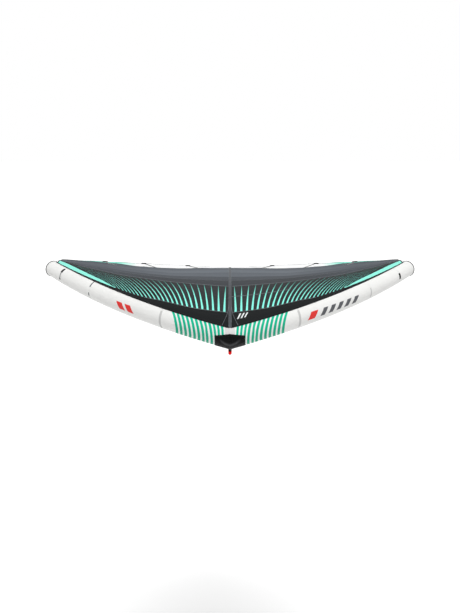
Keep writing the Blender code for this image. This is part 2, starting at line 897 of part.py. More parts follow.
def canopy_flat(share, chord, depth):
    # A point on the canopy's triangles, between its rings and its chord lines.
    ring = max(number for number in range(CANOPY_RINGS) if RING_SHARES[number] <= share)
    corners = []
    parts = []
    for near in (RING_SHARES[ring], RING_SHARES[ring + 1]):
        lines = sorted(rear_chords(near) + trailing_chords(near))
        number = max(index for index, line in enumerate(lines[:-1]) if line <= chord)
        corners.append([canopy_point(near, line, depth) for line in lines[number:number + 2]])
        parts.append((chord - lines[number]) / (lines[number + 1] - lines[number]))
    across = (share - RING_SHARES[ring]) / (RING_SHARES[ring + 1] - RING_SHARES[ring])
    along = parts[0] + (parts[1] - parts[0]) * across
    (one, two), (four, three) = corners
    if along > across:
        return one + (two - one) * along + (three - two) * across
    return one + (four - one) * across + (three - four) * along


def batten_mesh(x):
    length = chord_length(share_at(x, 1))
    last = 1 - BATTEN_END_GAP / length
    first = last - BATTEN_LENGTH / length
    grids = []
    for lift in (BATTEN_GAP + BATTEN_THICKNESS, BATTEN_GAP):
        grid = []
        for step in range(BATTEN_STEPS + 1):
            part = step / BATTEN_STEPS
            chord = first + (last - first) * part
            middle = x + BATTEN_SPLAY * part
            row = []
            for side in (-BATTEN_WIDTH / 2, BATTEN_WIDTH / 2):
                row.append(canopy_flat(share_at(middle + side, chord), chord, -lift))
            grid.append(row)
        grids.append(grid)
    return sheet(*grids)


def make_battens(wing):
    for place, x in zip(("inner", "middle", "outer"), BATTEN_X):
        mesh = batten_mesh(x)
        make_object(f"batten_{place}_right", mesh, "glass fibre", wing)
        make_object(f"batten_{place}_left", mirrored(mesh), "glass fibre", wing)


# Centre strut

def strut_chords(first, last):
    every = front_chords(0)[WRAP_STEPS:] + main_chords(0)[1:] + rear_chords(0)[1:]
    every = every + trailing_chords(0)[1:]
    return [first] + [chord for chord in every if first + SKIN_GAP < chord < last - SKIN_GAP] + [last]


def strut_rings(chords, lift, sides=STRUT_SIDES):
    return [[strut_corner(chord, number, lift, sides) for number in range(sides)]
            for chord in chords]


def strut_seam():
    return rear_chords(0)[STRUT_SEAM_STEPS]


def make_strut(wing, tube_cutter):
    trim = GAP / 2 / chord_length(0)
    front = strut_chords(0, strut_seam() - trim)
    rear = strut_chords(strut_seam() + trim, STRUT_END_SHARE)
    pieces = {}
    for name, chords in (("strut_sleeve_front", front), ("strut_sleeve_rear", rear)):
        mesh = tube_wall(strut_rings(chords, 0), strut_rings(chords, -SLEEVE_WALL))
        pieces[name] = make_object(name, mesh, "white dacron", wing)
    combine(pieces["strut_sleeve_front"], tube_cutter, "DIFFERENCE")
    return pieces


def make_strut_cap(wing):
    centre = strut_centre(STRUT_END_SHARE)
    _, aft, _ = strut_frame(STRUT_END_SHARE)
    rings = []
    for radius_share, height_share in zip(CAP_RADIUS_SHARES, CAP_HEIGHT_SHARES):
        middle = centre + aft * (GAP + STRUT_CAP_BULGE * height_share)
        ring = strut_rings([STRUT_END_SHARE], 0)[0]
        rings.append([middle + (place - centre) * radius_share for place in ring])
    make_object("strut_end_cap", loft(rings), "black rubber", wing)


def make_strut_bladder(wing):
    chords = strut_chords(*STRUT_BLADDER_SHARES)
    lift = -(SLEEVE_WALL + GAP)
    outer = loft(strut_rings(chords, lift, STRUT_SIDES // 2))
    inner_rings = strut_rings(chords, lift - BLADDER_WALL, STRUT_SIDES // 2)
    trim = BLADDER_WALL / chord_length(0)
    inner_rings[0] = strut_rings([chords[0] + trim], lift - BLADDER_WALL, STRUT_SIDES // 2)[0]
    inner_rings[-1] = strut_rings([chords[-1] - trim], lift - BLADDER_WALL, STRUT_SIDES // 2)[0]
    inner = facing_in(*loft(inner_rings))
    return make_object("strut_bladder", joined((outer, inner)), "clear bladder", wing)


def make_strut_cutter(wing):
    chords = strut_chords(0, STRUT_END_SHARE)
    return make_cutter("strut_cutter", loft(strut_rings(chords, GAP)), wing)


def strut_bottom(chord):
    _, _, down = strut_frame(chord)
    return strut_centre(chord) + down * strut_radius(chord)


def under_strut(chord, reach):
    # Axes on the strut's lowest line: X to the left, Y aft, Z down, away from the strut.
    share = reach / chord_length(0)
    aft = (strut_bottom(chord + share) - strut_bottom(chord - share)).normalized()
    return frame_of(strut_bottom(chord), Vector((-1, 0, 0)), aft)


# Inflation valve

def on_tube(share, degrees, mirror):
    # Axes on the tube's face: X along the tube, Y round it, Z straight out.
    facet = facet_of(share, degrees)
    place = tube_point(share, facet, 0)
    out = tube_outward(share, facet_angle(share, facet))
    along = tube_heading(share)
    if mirror:
        place = Vector((-place.x, place.y, place.z))
        out = Vector((-out.x, out.y, out.z))
        along = Vector((-along.x, along.y, along.z))
    return frame_of(place, along, out.cross(along))


def make_fitting(name, finish, wing, frame, cutter, sizes, bore, sides):
    # A flange that seats on an inflated tube, with a neck into it and a collar out of it.
    flange, flange_depth, flange_top, neck, neck_depth, collar, collar_top = sizes
    mesh = turned(frame, ((flange, -flange_depth), (flange, flange_top)), sides)
    thing = make_object(name, mesh, finish, wing)
    combine(thing, cutter, "DIFFERENCE")
    middle = (neck + bore) / 2
    hole = turned(frame, ((middle, -flange_depth - OVERRUN), (middle, flange_top + OVERRUN)), sides)
    combine(thing, make_cutter(f"{name}_middle", hole, wing), "DIFFERENCE")
    step = flange_top / 2
    outline = [(bore, -neck_depth), (neck, -neck_depth), (neck, step), (collar, step),
               (collar, collar_top), (bore, collar_top)]
    if collar == neck:
        outline = outline[:2] + outline[4:]
    wall = turned_wall(frame, outline, sides)
    combine(thing, make_cutter(f"{name}_neck", wall, wing), "UNION")
    return thing


def make_hole(name, wing, frame, radius, depth, sides, pieces):
    hole = turned(frame, ((radius, -depth), (radius, OVERRUN)), sides)
    cutter = make_cutter(name, hole, wing)
    for piece in pieces:
        combine(piece, cutter, "DIFFERENCE")


def valve_hinge(frame):
    return frame @ Vector((0, VALVE_HINGE_REACH, VALVE_COLLAR_TOP + GAP))


def make_valve(wing, sleeve, bladder, tube_cutter):
    frame = on_tube(VALVE_SHARE, VALVE_DEGREES, False)
    sizes = (VALVE_FLANGE_RADIUS, VALVE_FLANGE_DEPTH, VALVE_FLANGE_TOP, VALVE_NECK_RADIUS,
             VALVE_NECK_DEPTH, VALVE_COLLAR_RADIUS, VALVE_COLLAR_TOP)
    body = make_fitting("valve_body", "grey plastic", wing, frame, tube_cutter, sizes,
                        VALVE_BORE_RADIUS, VALVE_SIDES)
    hinge_z = VALVE_COLLAR_TOP + GAP
    for end, name in ((-1, "valve_ear_fore"), (1, "valve_ear_aft")):
        near = end * (VALVE_HINGE_LENGTH / 2 + GAP)
        far = end * (VALVE_HINGE_LENGTH / 2 + GAP + VALVE_EAR_WIDTH)
        low = (min(near, far), VALVE_HINGE_REACH - VALVE_EAR_LENGTH / 2, VALVE_FLANGE_TOP / 2)
        high = (max(near, far), VALVE_HINGE_REACH + VALVE_EAR_LENGTH / 2,
                hinge_z + VALVE_HINGE_RADIUS)
        combine(body, make_cutter(name, block(frame, low, high), wing), "UNION")
    depth = VALVE_NECK_DEPTH
    make_hole("valve_hole", wing, frame, VALVE_NECK_RADIUS + GAP, depth, VALVE_SIDES,
              (sleeve, bladder))
    make_valve_cap(wing, frame)
    make_valve_flap(wing, frame)


def make_valve_cap(wing, frame):
    base = VALVE_COLLAR_TOP + GAP
    plug = VALVE_BORE_RADIUS - CAP_PLUG_PLAY
    profile = ((plug, base - CAP_PLUG_DEPTH), (plug, base), (VALVE_COLLAR_RADIUS, base),
               (VALVE_COLLAR_RADIUS, base + CAP_THICKNESS))
    mesh = turned(frame, profile, VALVE_SIDES)
    cap = make_object("valve_cap", mesh, "black rubber", wing, valve_hinge(frame))
    reach = VALVE_HINGE_REACH
    tongue = block(frame, (-CAP_TONGUE_WIDTH / 2, VALVE_COLLAR_RADIUS / 2, base + GAP),
                   (CAP_TONGUE_WIDTH / 2, reach, base + VALVE_HINGE_RADIUS))
    combine(cap, make_cutter("valve_cap_tongue", tongue, wing), "UNION")
    turn = frame @ Matrix.Translation((0, reach, base)) @ Matrix.Rotation(pi / 2, 4, "Y")
    half = VALVE_HINGE_LENGTH / 2
    knuckle = turned(turn, ((VALVE_HINGE_RADIUS, -half), (VALVE_HINGE_RADIUS, half)), SCREW_SIDES)
    combine(cap, make_cutter("valve_cap_knuckle", knuckle, wing), "UNION")


def make_valve_flap(wing, frame):
    base = -VALVE_NECK_DEPTH - GAP
    profile = ((FLAP_RADIUS, base - FLAP_THICKNESS), (FLAP_RADIUS, base))
    mesh = turned(frame, profile, FLAP_SIDES)
    pivot = frame @ Vector((0, FLAP_RADIUS, base))
    make_object("valve_flap", mesh, "clear hose", wing, pivot)


# One-pump hose

def strut_fitting_frame():
    angle = pi - radians(STRUT_FITTING_DEGREES)
    out = strut_outward(STRUT_FITTING_SHARE, angle)
    facet = (angle - pi / 2) / (2 * pi) * STRUT_SIDES
    low = strut_corner(STRUT_FITTING_SHARE, floor(facet), 0)
    place = low.lerp(strut_corner(STRUT_FITTING_SHARE, floor(facet) + 1, 0), facet - floor(facet))
    _, aft, _ = strut_frame(STRUT_FITTING_SHARE)
    return frame_of(place, aft, out.cross(aft))


def hose_line(start, end):
    # A curve that leaves each fitting straight and runs straight through the clamp.
    face = FITTING_STUB + GAP
    straight = face + HOSE_RADIUS * 2
    first = start @ Vector((0, 0, straight))
    last = end @ Vector((0, 0, straight))
    leave = start @ Vector((0, 0, straight + HOSE_PULL))
    arrive = end @ Vector((0, 0, straight + HOSE_PULL))
    middle = CLAMP_LENGTH / (leave - arrive).length / 2
    parts = [(1 / 2 - middle) * step / (HOSE_STEPS - 1) for step in range(HOSE_STEPS)]
    line = [start @ Vector((0, 0, face))]
    for part in parts + [1 - part for part in reversed(parts)]:
        rest = 1 - part
        place = first * rest ** 3 + leave * (3 * rest ** 2 * part)
        line.append(place + arrive * (3 * rest * part ** 2) + last * part ** 3)
    return line + [end @ Vector((0, 0, face))]


def make_hose(wing, pieces, tube_cutter, strut_cutter):
    sizes = (FITTING_FLANGE_RADIUS, FITTING_FLANGE_DEPTH, FITTING_FLANGE_TOP, FITTING_NECK_RADIUS,
             FITTING_NECK_DEPTH, FITTING_NECK_RADIUS, FITTING_STUB)
    start = on_tube(TUBE_FITTING_SHARE, TUBE_FITTING_DEGREES, True)
    end = strut_fitting_frame()
    make_fitting("hose_fitting_tube", "black plastic", wing, start, tube_cutter, sizes,
                 FITTING_BORE_RADIUS, FITTING_SIDES)
    make_fitting("hose_fitting_strut", "black plastic", wing, end, strut_cutter, sizes,
                 FITTING_BORE_RADIUS, FITTING_SIDES)
    make_hole("hose_hole_tube", wing, start, FITTING_NECK_RADIUS + GAP, FITTING_NECK_DEPTH,
              FITTING_SIDES, (pieces["le_sleeve_inner_left"], pieces["le_bladder"]))
    make_hole("hose_hole_strut", wing, end, FITTING_NECK_RADIUS + GAP, FITTING_NECK_DEPTH,
              FITTING_SIDES, (pieces["strut_sleeve_front"], pieces["strut_bladder"]))
    line = hose_line(start, end)
    side = start.to_3x3().col[0]
    normal = (line[-1] - line[0]).cross(line[HOSE_STEPS] - line[0]).normalized()
    if normal.dot(side) < 0:
        normal = -normal
    mesh = loft(swept_rings(line, normal, circle(HOSE_RADIUS, FITTING_SIDES)))
    make_object("one_pump_hose", mesh, "clear hose", wing)
    make_clamp(wing, line, normal)


def make_clamp(wing, line, normal):
    place = (line[HOSE_STEPS] + line[HOSE_STEPS + 1]) / 2
    along = (line[HOSE_STEPS + 1] - line[HOSE_STEPS]).normalized()
    frame = frame_of(place, (normal - along * normal.dot(along)).normalized(), along)
    half = CLAMP_HALF_WIDTH
    length = CLAMP_LENGTH / 2
    base = make_object("clamp_base", block(frame, (-half, -length, -half), (half, length, half)),
                       "black plastic", wing)
    bore = HOSE_RADIUS + CLAMP_BORE_PLAY
    turn = frame @ Matrix.Rotation(-pi / 2, 4, "X")
    hole = turned(turn, ((bore, -length - OVERRUN), (bore, length + OVERRUN)), FITTING_SIDES)
    combine(base, make_cutter("clamp_bore", hole, wing), "DIFFERENCE")
    pin_y = -length + CLAMP_EYE_RADIUS
    pin_z = half - CLAMP_EYE_RADIUS
    turn = frame @ Matrix.Translation((0, pin_y, pin_z)) @ Matrix.Rotation(pi / 2, 4, "Y")
    end = half + GAP + CLAMP_LEVER_WIDTH
    pin = turned(turn, ((CLAMP_PIN_RADIUS, half - OVERRUN), (CLAMP_PIN_RADIUS, end)), SCREW_SIDES)
    combine(base, make_cutter("clamp_pin", pin, wing), "UNION")
    ring = ((CLAMP_EYE_RADIUS, half + GAP), (CLAMP_EYE_RADIUS, end))
    pivot = frame @ Vector((0, pin_y, pin_z))
    lever = make_object("clamp_lever", turned(turn, ring, SCREW_SIDES), "red plastic", wing, pivot)
    low = (half + GAP, pin_y, pin_z + CLAMP_EYE_RADIUS - CLAMP_LEVER_THICKNESS)
    high = (end, pin_y + CLAMP_LEVER_LENGTH, pin_z + CLAMP_EYE_RADIUS)
    combine(lever, make_cutter("clamp_arm", block(frame, low, high), wing), "UNION")
    eye = CLAMP_PIN_RADIUS + GAP
    hole = turned(turn, ((eye, half - OVERRUN), (eye, end + OVERRUN)), SCREW_SIDES)
    combine(lever, make_cutter("clamp_eye", hole, wing), "DIFFERENCE")


# Neutral handle

def neutral_ends():
    # The two ends of the handle's swing axis, under the nose and under the strut.
    out = tube_outward(0, radians(ANCHOR_FRONT_DEGREES))
    out = Vector((0, out.y, out.z)).normalized()
    front = centre_plane_point(ANCHOR_FRONT_DEGREES) + out * ANCHOR_STANDOFF
    rear = under_strut(ANCHOR_REAR_SHARE, ANCHOR_LENGTH) @ Vector((0, 0, ANCHOR_STANDOFF))
    return front, rear


def centre_plane_point(degrees):
    place = tube_point(0, facet_of(0, degrees), 0)
    return Vector((0, place.y, place.z))


def neutral_line():
    front, rear = neutral_ends()
    along = (rear - front).normalized()
    drop = Vector((0, along.z, -along.y))
    length = (rear - front).length - 2 * GAP
    points = []
    for along_share, drop_share in zip(NEUTRAL_ALONG_SHARES, NEUTRAL_DROP_SHARES):
        place = front + along * (GAP + length * along_share) + drop * NEUTRAL_DROP * drop_share
        points.append(place)
    return [front + along * GAP] + smooth_line(points, NEUTRAL_STEPS) + [rear - along * GAP]


def make_anchor(name, wing, frame, end, along, toward, cutter):
    # A sewn patch with a tab that reaches to the handle's end.
    fore, aft = sorted((-toward * ANCHOR_LENGTH, toward * ANCHOR_TOE))
    mesh = block(frame, (-ANCHOR_HALF_WIDTH, fore, -ANCHOR_DEPTH),
                 (ANCHOR_HALF_WIDTH, aft, ANCHOR_PATCH))
    thing = make_object(name, mesh, "black webbing", wing)
    square = Vector((0, along.z, -along.y)) * TAB_HALF_HEIGHT
    local = frame.inverted()
    near = local @ (end + square)
    far = local @ (end - square)
    low, high = sorted((near, far), key=lambda point: point.z)
    root = -toward * TAB_HALF_HEIGHT * 2
    outline = ((high.y, high.z), (low.y, low.z), (low.y, 0), (high.y + root, 0))
    tab = make_cutter(f"{name}_tab", prism(frame, outline, -TAB_HALF_WIDTH, TAB_HALF_WIDTH), wing)
    combine(thing, tab, "UNION")
    combine(thing, cutter, "DIFFERENCE")


def make_neutral_handle(wing, tube_cutter, strut_cutter):
    front, rear = neutral_ends()
    along = (rear - front).normalized()
    out = Vector((0, front.y, front.z)) - centre_plane_point(ANCHOR_FRONT_DEGREES)
    side = Vector((-1, 0, 0))
    front_frame = frame_of(centre_plane_point(ANCHOR_FRONT_DEGREES), side, out.cross(side))
    rear_frame = under_strut(ANCHOR_REAR_SHARE, ANCHOR_LENGTH)
    make_anchor("neutral_anchor_front", wing, front_frame, front, along, 1, tube_cutter)
    make_anchor("neutral_anchor_rear", wing, rear_frame, rear, along, -1, strut_cutter)
    line = neutral_line()
    across = Vector((1, 0, 0))
    core = swept_rings(line, across, circle(NEUTRAL_CORE_RADIUS, NEUTRAL_SIDES))
    make_object("neutral_handle_core", loft(core), "black webbing", wing, front)
    first = round(WRAP_END_SHARES[0] * (len(line) - 1))
    last = round(WRAP_END_SHARES[1] * (len(line) - 1))
    wrap = swept_rings(line, across, wrap_outline())[first:last + 1]
    make_object("neutral_handle_wrap", loft(wrap), "red webbing", wing, front)


def wrap_outline():
    # A channel round the core, in step with its corners and open towards the leading edge.
    inner = NEUTRAL_CORE_RADIUS + GAP
    outer = inner + WRAP_THICKNESS
    step = 2 * pi / NEUTRAL_SIDES
    angles = [step * number for number in range(WRAP_FIRST_SIDE, WRAP_LAST_SIDE + 1)]
    outline = [(outer * cos(angle), outer * sin(angle)) for angle in angles]
    return outline + [(inner * cos(angle), inner * sin(angle)) for angle in reversed(angles)]


# Front and rear handles

def bar_line(frame):
    # Down one leg, along the grip and back up the other leg, with round bends.
    reach = HANDLE_SPAN / 2
    foot = PAD_TOP + GAP + FOOT_THICKNESS / 2
    line = [Vector((0, -reach, foot))]
    for sign, start in ((-1, 0), (1, pi / 2)):
        middle_y = sign * (reach - BAR_BEND)
        middle_z = HANDLE_HEIGHT - BAR_BEND
        for step in range(BEND_STEPS + 1):
            turn = start + pi / 2 * step / BEND_STEPS
            line.append(Vector((0, middle_y - BAR_BEND * cos(turn),
                                middle_z + BAR_BEND * sin(turn))))
    line.append(Vector((0, reach, foot)))
    return [frame @ place for place in line]


def make_handle(name, chord, wing, strut_cutter):
    reach = HANDLE_SPAN / 2
    frame = under_strut(chord, reach)
    pad_mesh = block(frame, (-PAD_HALF_WIDTH, -reach - PAD_OVERHANG, -PAD_DEPTH),
                     (PAD_HALF_WIDTH, reach + PAD_OVERHANG, PAD_TOP))
    pad = make_object(f"{name}_handle_pad", pad_mesh, "black rubber", wing)
    combine(pad, strut_cutter, "DIFFERENCE")
    side = frame.to_3x3().col[0]
    bar_mesh = loft(swept_rings(bar_line(frame), side, circle(BAR_RADIUS, BAR_SIDES)))
    bar = make_object(f"{name}_handle_bar", bar_mesh, "black plastic", wing)
    top = PAD_TOP + GAP + FOOT_THICKNESS
    for sign, place in ((-1, "fore"), (1, "aft")):
        ends = sorted((sign * (reach - FOOT_INNER), sign * (reach + FOOT_OUTER)))
        foot = block(frame, (-FOOT_HALF_WIDTH, ends[0], PAD_TOP + GAP),
                     (FOOT_HALF_WIDTH, ends[1], top))
        combine(bar, make_cutter(f"{name}_foot_{place}", foot, wing), "UNION")
        make_screw(f"{name}_handle_screw_{place}", wing, frame, sign * (reach + SCREW_REACH), top,
                   (bar, pad))
    make_grip(name, wing, frame)


def make_screw(name, wing, frame, y, top, pieces):
    place = frame @ Matrix.Translation((0, y, 0))
    hole = SCREW_RADIUS + GAP
    tip = top + GAP - SCREW_LENGTH
    cut = turned(place, ((hole, tip - GAP), (hole, top + OVERRUN)), SCREW_SIDES)
    cutter = make_cutter(f"{name}_hole", cut, wing)
    for piece in pieces:
        combine(piece, cutter, "DIFFERENCE")
    seat = top + GAP
    profile = ((SCREW_RADIUS, tip), (SCREW_RADIUS, seat), (SCREW_HEAD_RADIUS, seat),
               (SCREW_HEAD_RADIUS, seat + SCREW_HEAD))
    make_object(name, turned(place, profile, SCREW_SIDES), "steel", wing)


def make_grip(name, wing, frame):
    half = HANDLE_SPAN / 2 - BAR_BEND - GRIP_END_SPACE
    turn = frame @ Matrix.Translation((0, 0, HANDLE_HEIGHT)) @ Matrix.Rotation(-pi / 2, 4, "X")
    walls = []
    for radius in (BAR_RADIUS + GAP + GRIP_THICKNESS, BAR_RADIUS + GAP):
        walls.append([[turn @ Vector((x, y, z)) for x, y in circle(radius, BAR_SIDES)]
                      for z in (-half, half)])
    make_object(f"{name}_handle_grip", tube_wall(*walls), "black foam", wing)


# Leash loop

def leash_frame():
    ahead = HANDLE_SPAN / 2 + PAD_OVERHANG + LEASH_SPACE + LEASH_PATCH_HALF_LENGTH
    return under_strut(FRONT_HANDLE_SHARE - ahead / chord_length(0), LEASH_PATCH_HALF_LENGTH)


def make_leash_loop(wing, strut_cutter):
    frame = leash_frame()
    patch_mesh_low = (-LEASH_PATCH_HALF_WIDTH, -LEASH_PATCH_HALF_LENGTH, -LEASH_PATCH_DEPTH)
    patch_mesh_high = (LEASH_PATCH_HALF_WIDTH, LEASH_PATCH_HALF_LENGTH, LEASH_PATCH_TOP)
    patch = make_object("leash_patch", block(frame, patch_mesh_low, patch_mesh_high),
                        "black webbing", wing)
    combine(patch, strut_cutter, "DIFFERENCE")
    root = LEASH_PATCH_TOP + GAP + LEASH_ROOT_RADIUS
    middle = root + LEASH_HEIGHT - LEASH_RADIUS
    outlines = (
        leash_outline(LEASH_RADIUS, middle, LEASH_ROOT_RADIUS, root, LEASH_ROOT_RADIUS),
        leash_outline(LEASH_RADIUS - LEASH_THICKNESS, middle, LEASH_EYE_HALF_WIDTH,
                      root + LEASH_EYE_START, 0),
    )
    walls = []
    for outline in outlines:
        walls.append([[frame @ Vector((x, y, z)) for y, z in outline]
                      for x in (-LEASH_WIDTH / 2, LEASH_WIDTH / 2)])
    pivot = frame @ Vector((0, 0, root))
    make_object("leash_loop", tube_wall(*walls), "black webbing", wing, pivot)


def leash_outline(radius, middle, half, low, depth):
    # A drop shape: round at the top, straight down to a narrow end that is rounded by its depth.
    outline = [(-half, low)]
    for step in range(LEASH_STEPS + 1):
        turn = pi - pi * step / LEASH_STEPS
        outline.append((radius * cos(turn), middle + radius * sin(turn)))
    for step in range(LEASH_ROOT_STEPS):
        turn = pi * step / LEASH_ROOT_STEPS
        outline.append((half * cos(turn), low - depth * sin(turn)))
    return outline


def front_grip_centre():
    return under_strut(FRONT_HANDLE_SHARE, HANDLE_SPAN / 2) @ Vector((0, 0, HANDLE_HEIGHT))


def build():
    clear_scene()
    wing = make_empty("wing", None, -front_grip_centre())
    tube_cutter = make_tube_cutter(wing)
    strut_cutter = make_strut_cutter(wing)
    pieces = make_sleeves(wing)
    make_tip_caps(wing)
    pieces["le_bladder"] = make_le_bladder(wing)
    make_nose_patches(wing)
    make_canopy(wing)
    make_spine_tape(wing)
    make_battens(wing)
    pieces.update(make_strut(wing, tube_cutter))
    make_strut_cap(wing)
    pieces["strut_bladder"] = make_strut_bladder(wing)
    make_valve(wing, pieces["le_sleeve_inner_right"], pieces["le_bladder"], tube_cutter)
    make_hose(wing, pieces, tube_cutter, strut_cutter)
    make_neutral_handle(wing, tube_cutter, strut_cutter)
    make_handle("front", FRONT_HANDLE_SHARE, wing, strut_cutter)
    make_handle("rear", REAR_HANDLE_SHARE, wing, strut_cutter)
    make_leash_loop(wing, strut_cutter)


build()
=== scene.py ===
# An inflatable wingfoil wing, dressed for a studio picture. Lengths are in metres.
import json
from math import cos, dist, pi, radians, sin

import bmesh
import bpy
from mathutils import Matrix, Vector


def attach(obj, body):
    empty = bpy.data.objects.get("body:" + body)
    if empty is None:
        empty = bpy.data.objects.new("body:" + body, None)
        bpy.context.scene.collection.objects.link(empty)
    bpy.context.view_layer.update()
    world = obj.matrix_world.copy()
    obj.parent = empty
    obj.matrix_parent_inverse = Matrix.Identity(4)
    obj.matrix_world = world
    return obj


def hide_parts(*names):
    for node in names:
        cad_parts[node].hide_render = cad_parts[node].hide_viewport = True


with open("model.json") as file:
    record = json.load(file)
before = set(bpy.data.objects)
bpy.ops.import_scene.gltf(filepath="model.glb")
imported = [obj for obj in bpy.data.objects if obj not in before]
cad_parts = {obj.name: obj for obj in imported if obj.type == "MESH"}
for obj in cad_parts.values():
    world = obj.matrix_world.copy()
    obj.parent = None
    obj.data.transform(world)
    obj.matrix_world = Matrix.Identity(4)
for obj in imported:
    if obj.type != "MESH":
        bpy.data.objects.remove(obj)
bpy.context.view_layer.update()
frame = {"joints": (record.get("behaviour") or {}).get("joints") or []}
pivots = {joint["name"]: Vector(joint["pos_m"]) for joint in frame["joints"]}
print("frame loaded")

nosePlace = Vector((0, -0.58245, 0.01554))  # the tube's centre at the nose


# Studio: camera, light, floor

studio = {
    "cameraAt": (0, -7.1094, 1.8436), "lookAt": (0, 0.1676, 0.0289), "lens": 54.31, "film": 36,
    "ambient": 0.34, "keyPower": 2.5, "keyFrom": (0.05, -0.42, 0.95), "keyAngle": 35,
    "fillPower": 0.05, "fillFrom": (0.9, -0.5, 0.3), "fillAngle": 60,
    "floorHeight": -4.2, "floorSize": 60, "floorWhite": 0.9, "floorLift": 0.3,
}


def aim(thing, direction):
    thing.rotation_euler = Vector(direction).to_track_quat("-Z", "Y").to_euler()


def newObject(name, data):
    thing = bpy.data.objects.new(name, data)
    bpy.context.collection.objects.link(thing)
    return thing


def makeCamera():
    camera = newObject("camera", bpy.data.cameras.new("camera"))
    camera.location = studio["cameraAt"]
    aim(camera, Vector(studio["lookAt"]) - Vector(studio["cameraAt"]))
    camera.data.lens = studio["lens"]
    camera.data.sensor_width = studio["film"]
    bpy.context.scene.camera = camera


def makeLamp(name):
    lamp = newObject(f"{name}Lamp", bpy.data.lights.new(f"{name}Lamp", "SUN"))
    lamp.data.energy = studio[f"{name}Power"]
    lamp.data.angle = radians(studio[f"{name}Angle"])
    aim(lamp, -Vector(studio[f"{name}From"]))


def fillSockets(tree, inputs, values):
    # Sets or links sockets by name or number
    for key, value in values.items():
        if isinstance(value, bpy.types.NodeSocket):
            tree.links.new(value, inputs[key])
        else:
            inputs[key].default_value = value


def addNode(tree, kind, values=None, **settings):
    node = tree.nodes.new(kind)
    for key, value in settings.items():
        setattr(node, key, value)
    fillSockets(tree, node.inputs, values or {})
    return node


def firstOf(tree, kind, values=None, **settings):
    return addNode(tree, kind, values, **settings).outputs[0]


def calc(tree, operation, *values):
    return firstOf(tree, "ShaderNodeMath", dict(enumerate(values)), operation=operation)


def seenDirectly(tree):
    path = addNode(tree, "ShaderNodeLightPath").outputs
    direct = calc(tree, "MAXIMUM", path["Is Camera Ray"], path["Is Glossy Ray"])
    return calc(tree, "MAXIMUM", direct, path["Is Transmission Ray"])


def makeWorld():
    world = bpy.data.worlds.new("studioWorld")
    bpy.context.scene.world = world
    world.use_nodes = True
    tree = world.node_tree
    level = calc(tree, "MULTIPLY_ADD", seenDirectly(tree), 1 - studio["ambient"], studio["ambient"])
    fillSockets(tree, tree.nodes["Background"].inputs, {"Strength": level, "Color": (1, 1, 1, 1)})


def makeFloor():
    size = studio["floorSize"]
    mesh = bpy.data.meshes.new("studioFloor")
    mesh.from_pydata([(x * size, y * size, studio["floorHeight"]) for x, y in
                      ((-1, -1), (1, -1), (1, 1), (-1, 1))], [], [(0, 1, 2, 3)])
    material = bpy.data.materials.new("studioFloor")
    material.use_nodes = True
    tree = material.node_tree
    tree.nodes.clear()
    matte = firstOf(tree, "ShaderNodeBsdfDiffuse", {"Color": (studio["floorWhite"],) * 3 + (1,)})
    lift = calc(tree, "MULTIPLY", seenDirectly(tree), studio["floorLift"])
    glow = firstOf(tree, "ShaderNodeEmission", {"Strength": lift})
    both = firstOf(tree, "ShaderNodeAddShader", {0: matte, 1: glow})
    addNode(tree, "ShaderNodeOutputMaterial", {"Surface": both})
    mesh.materials.append(material)
    newObject("studioFloor", mesh)


bpy.context.scene.view_settings.view_transform = "Standard"
makeCamera()
makeLamp("key")
makeLamp("fill")
makeWorld()
makeFloor()
print("studio ready")


# The wing's curves, around the nose: share is 0 at the nose and 1 at the tube's tip

wing = {
    "reach": 1.53, "sweep": 1.307, "rise": 0.2125, "sweepShares": (0.5385, 0.2149, 0.2466),
    "noseRadius": 0.115, "tipRadius": 0.066, "taper": 1.3, "mitre": 0.078,
    "attach": (38, 14, 50), "wrap": (6, 22), "wrapPower": 1.5, "clothGap": 0.0018,
    "nearStrut": 0.04,
    "rootLength": 2.08, "cornerX": 1.47, "trailSweep": 0.58, "trailHeight": 0.065,
    "trailRise": 0.19, "trailSweepShares": (0.3, 0.7), "trailRiseShares": (0.544, 0.456),
    "frontSlope": (22, -8), "rearSlope": (-8.5, 7), "rearSpread": 0.5, "canopyEnd": 0.98,
    "frontSeam": ((0, 0.05), (0.027, 0.047), (0.1, 0.0366), (0.15, 0.031), (0.198, 0.0278),
                  (0.29, 0.0263), (0.338, 0.0237), (0.38, 0.0155), (0.43, 0.007), (0.48, 0.004),
                  (0.98, 0.006)),
    "mainSeam": ((0, 0.28), (0.353, 0.262), (0.588, 0.235), (0.817, 0.25), (0.98, 0.36)),
    "wedgeSeam": ((0, -0.1), (0.59, 0.012), (0.637, 0.033), (0.679, 0.05), (0.753, 0.072),
                  (0.832, 0.109), (0.882, 0.15), (0.917, 0.192), (0.95, 0.25), (0.98, 0.31)),
    "trailSeam": ((0, 0.93), (0.174, 0.9), (0.287, 0.86), (0.455, 0.83), (0.53, 0.83),
                  (0.6, 0.87), (0.67, 0.92), (0.8, 0.945), (0.98, 0.955)),
    "strutFront": 0.098, "strutRear": 0.045, "strutTaper": 1.3, "strutEnd": 0.965,
    "strutGap": 0.0018, "step": 0.001,
    "shareLength": 2.1,  # metres of tube in one share
}
bothSides = ((1, "right"), (-1, "left"))


def mix(low, high, part):
    return low + (high - low) * part


def between(pairs, share):
    # The value at a share, from (share, value) pairs
    first = pairs[0]
    for second in pairs[1:]:
        if share <= second[0]:
            return mix(first[1], second[1], (share - first[0]) / (second[0] - first[0]))
        first = second
    return first[1]


def tubeCentre(share):
    a, b, c = wing["sweepShares"]
    sweep = a * share + b * share ** 2 + c * share ** 3
    return Vector((wing["reach"] * share, wing["sweep"] * sweep, wing["rise"] * share))


def tubeHeading(share):
    a, b, c = wing["sweepShares"]
    sweep = a + 2 * b * share + 3 * c * share ** 2
    return Vector((wing["reach"], wing["sweep"] * sweep, wing["rise"])).normalized()


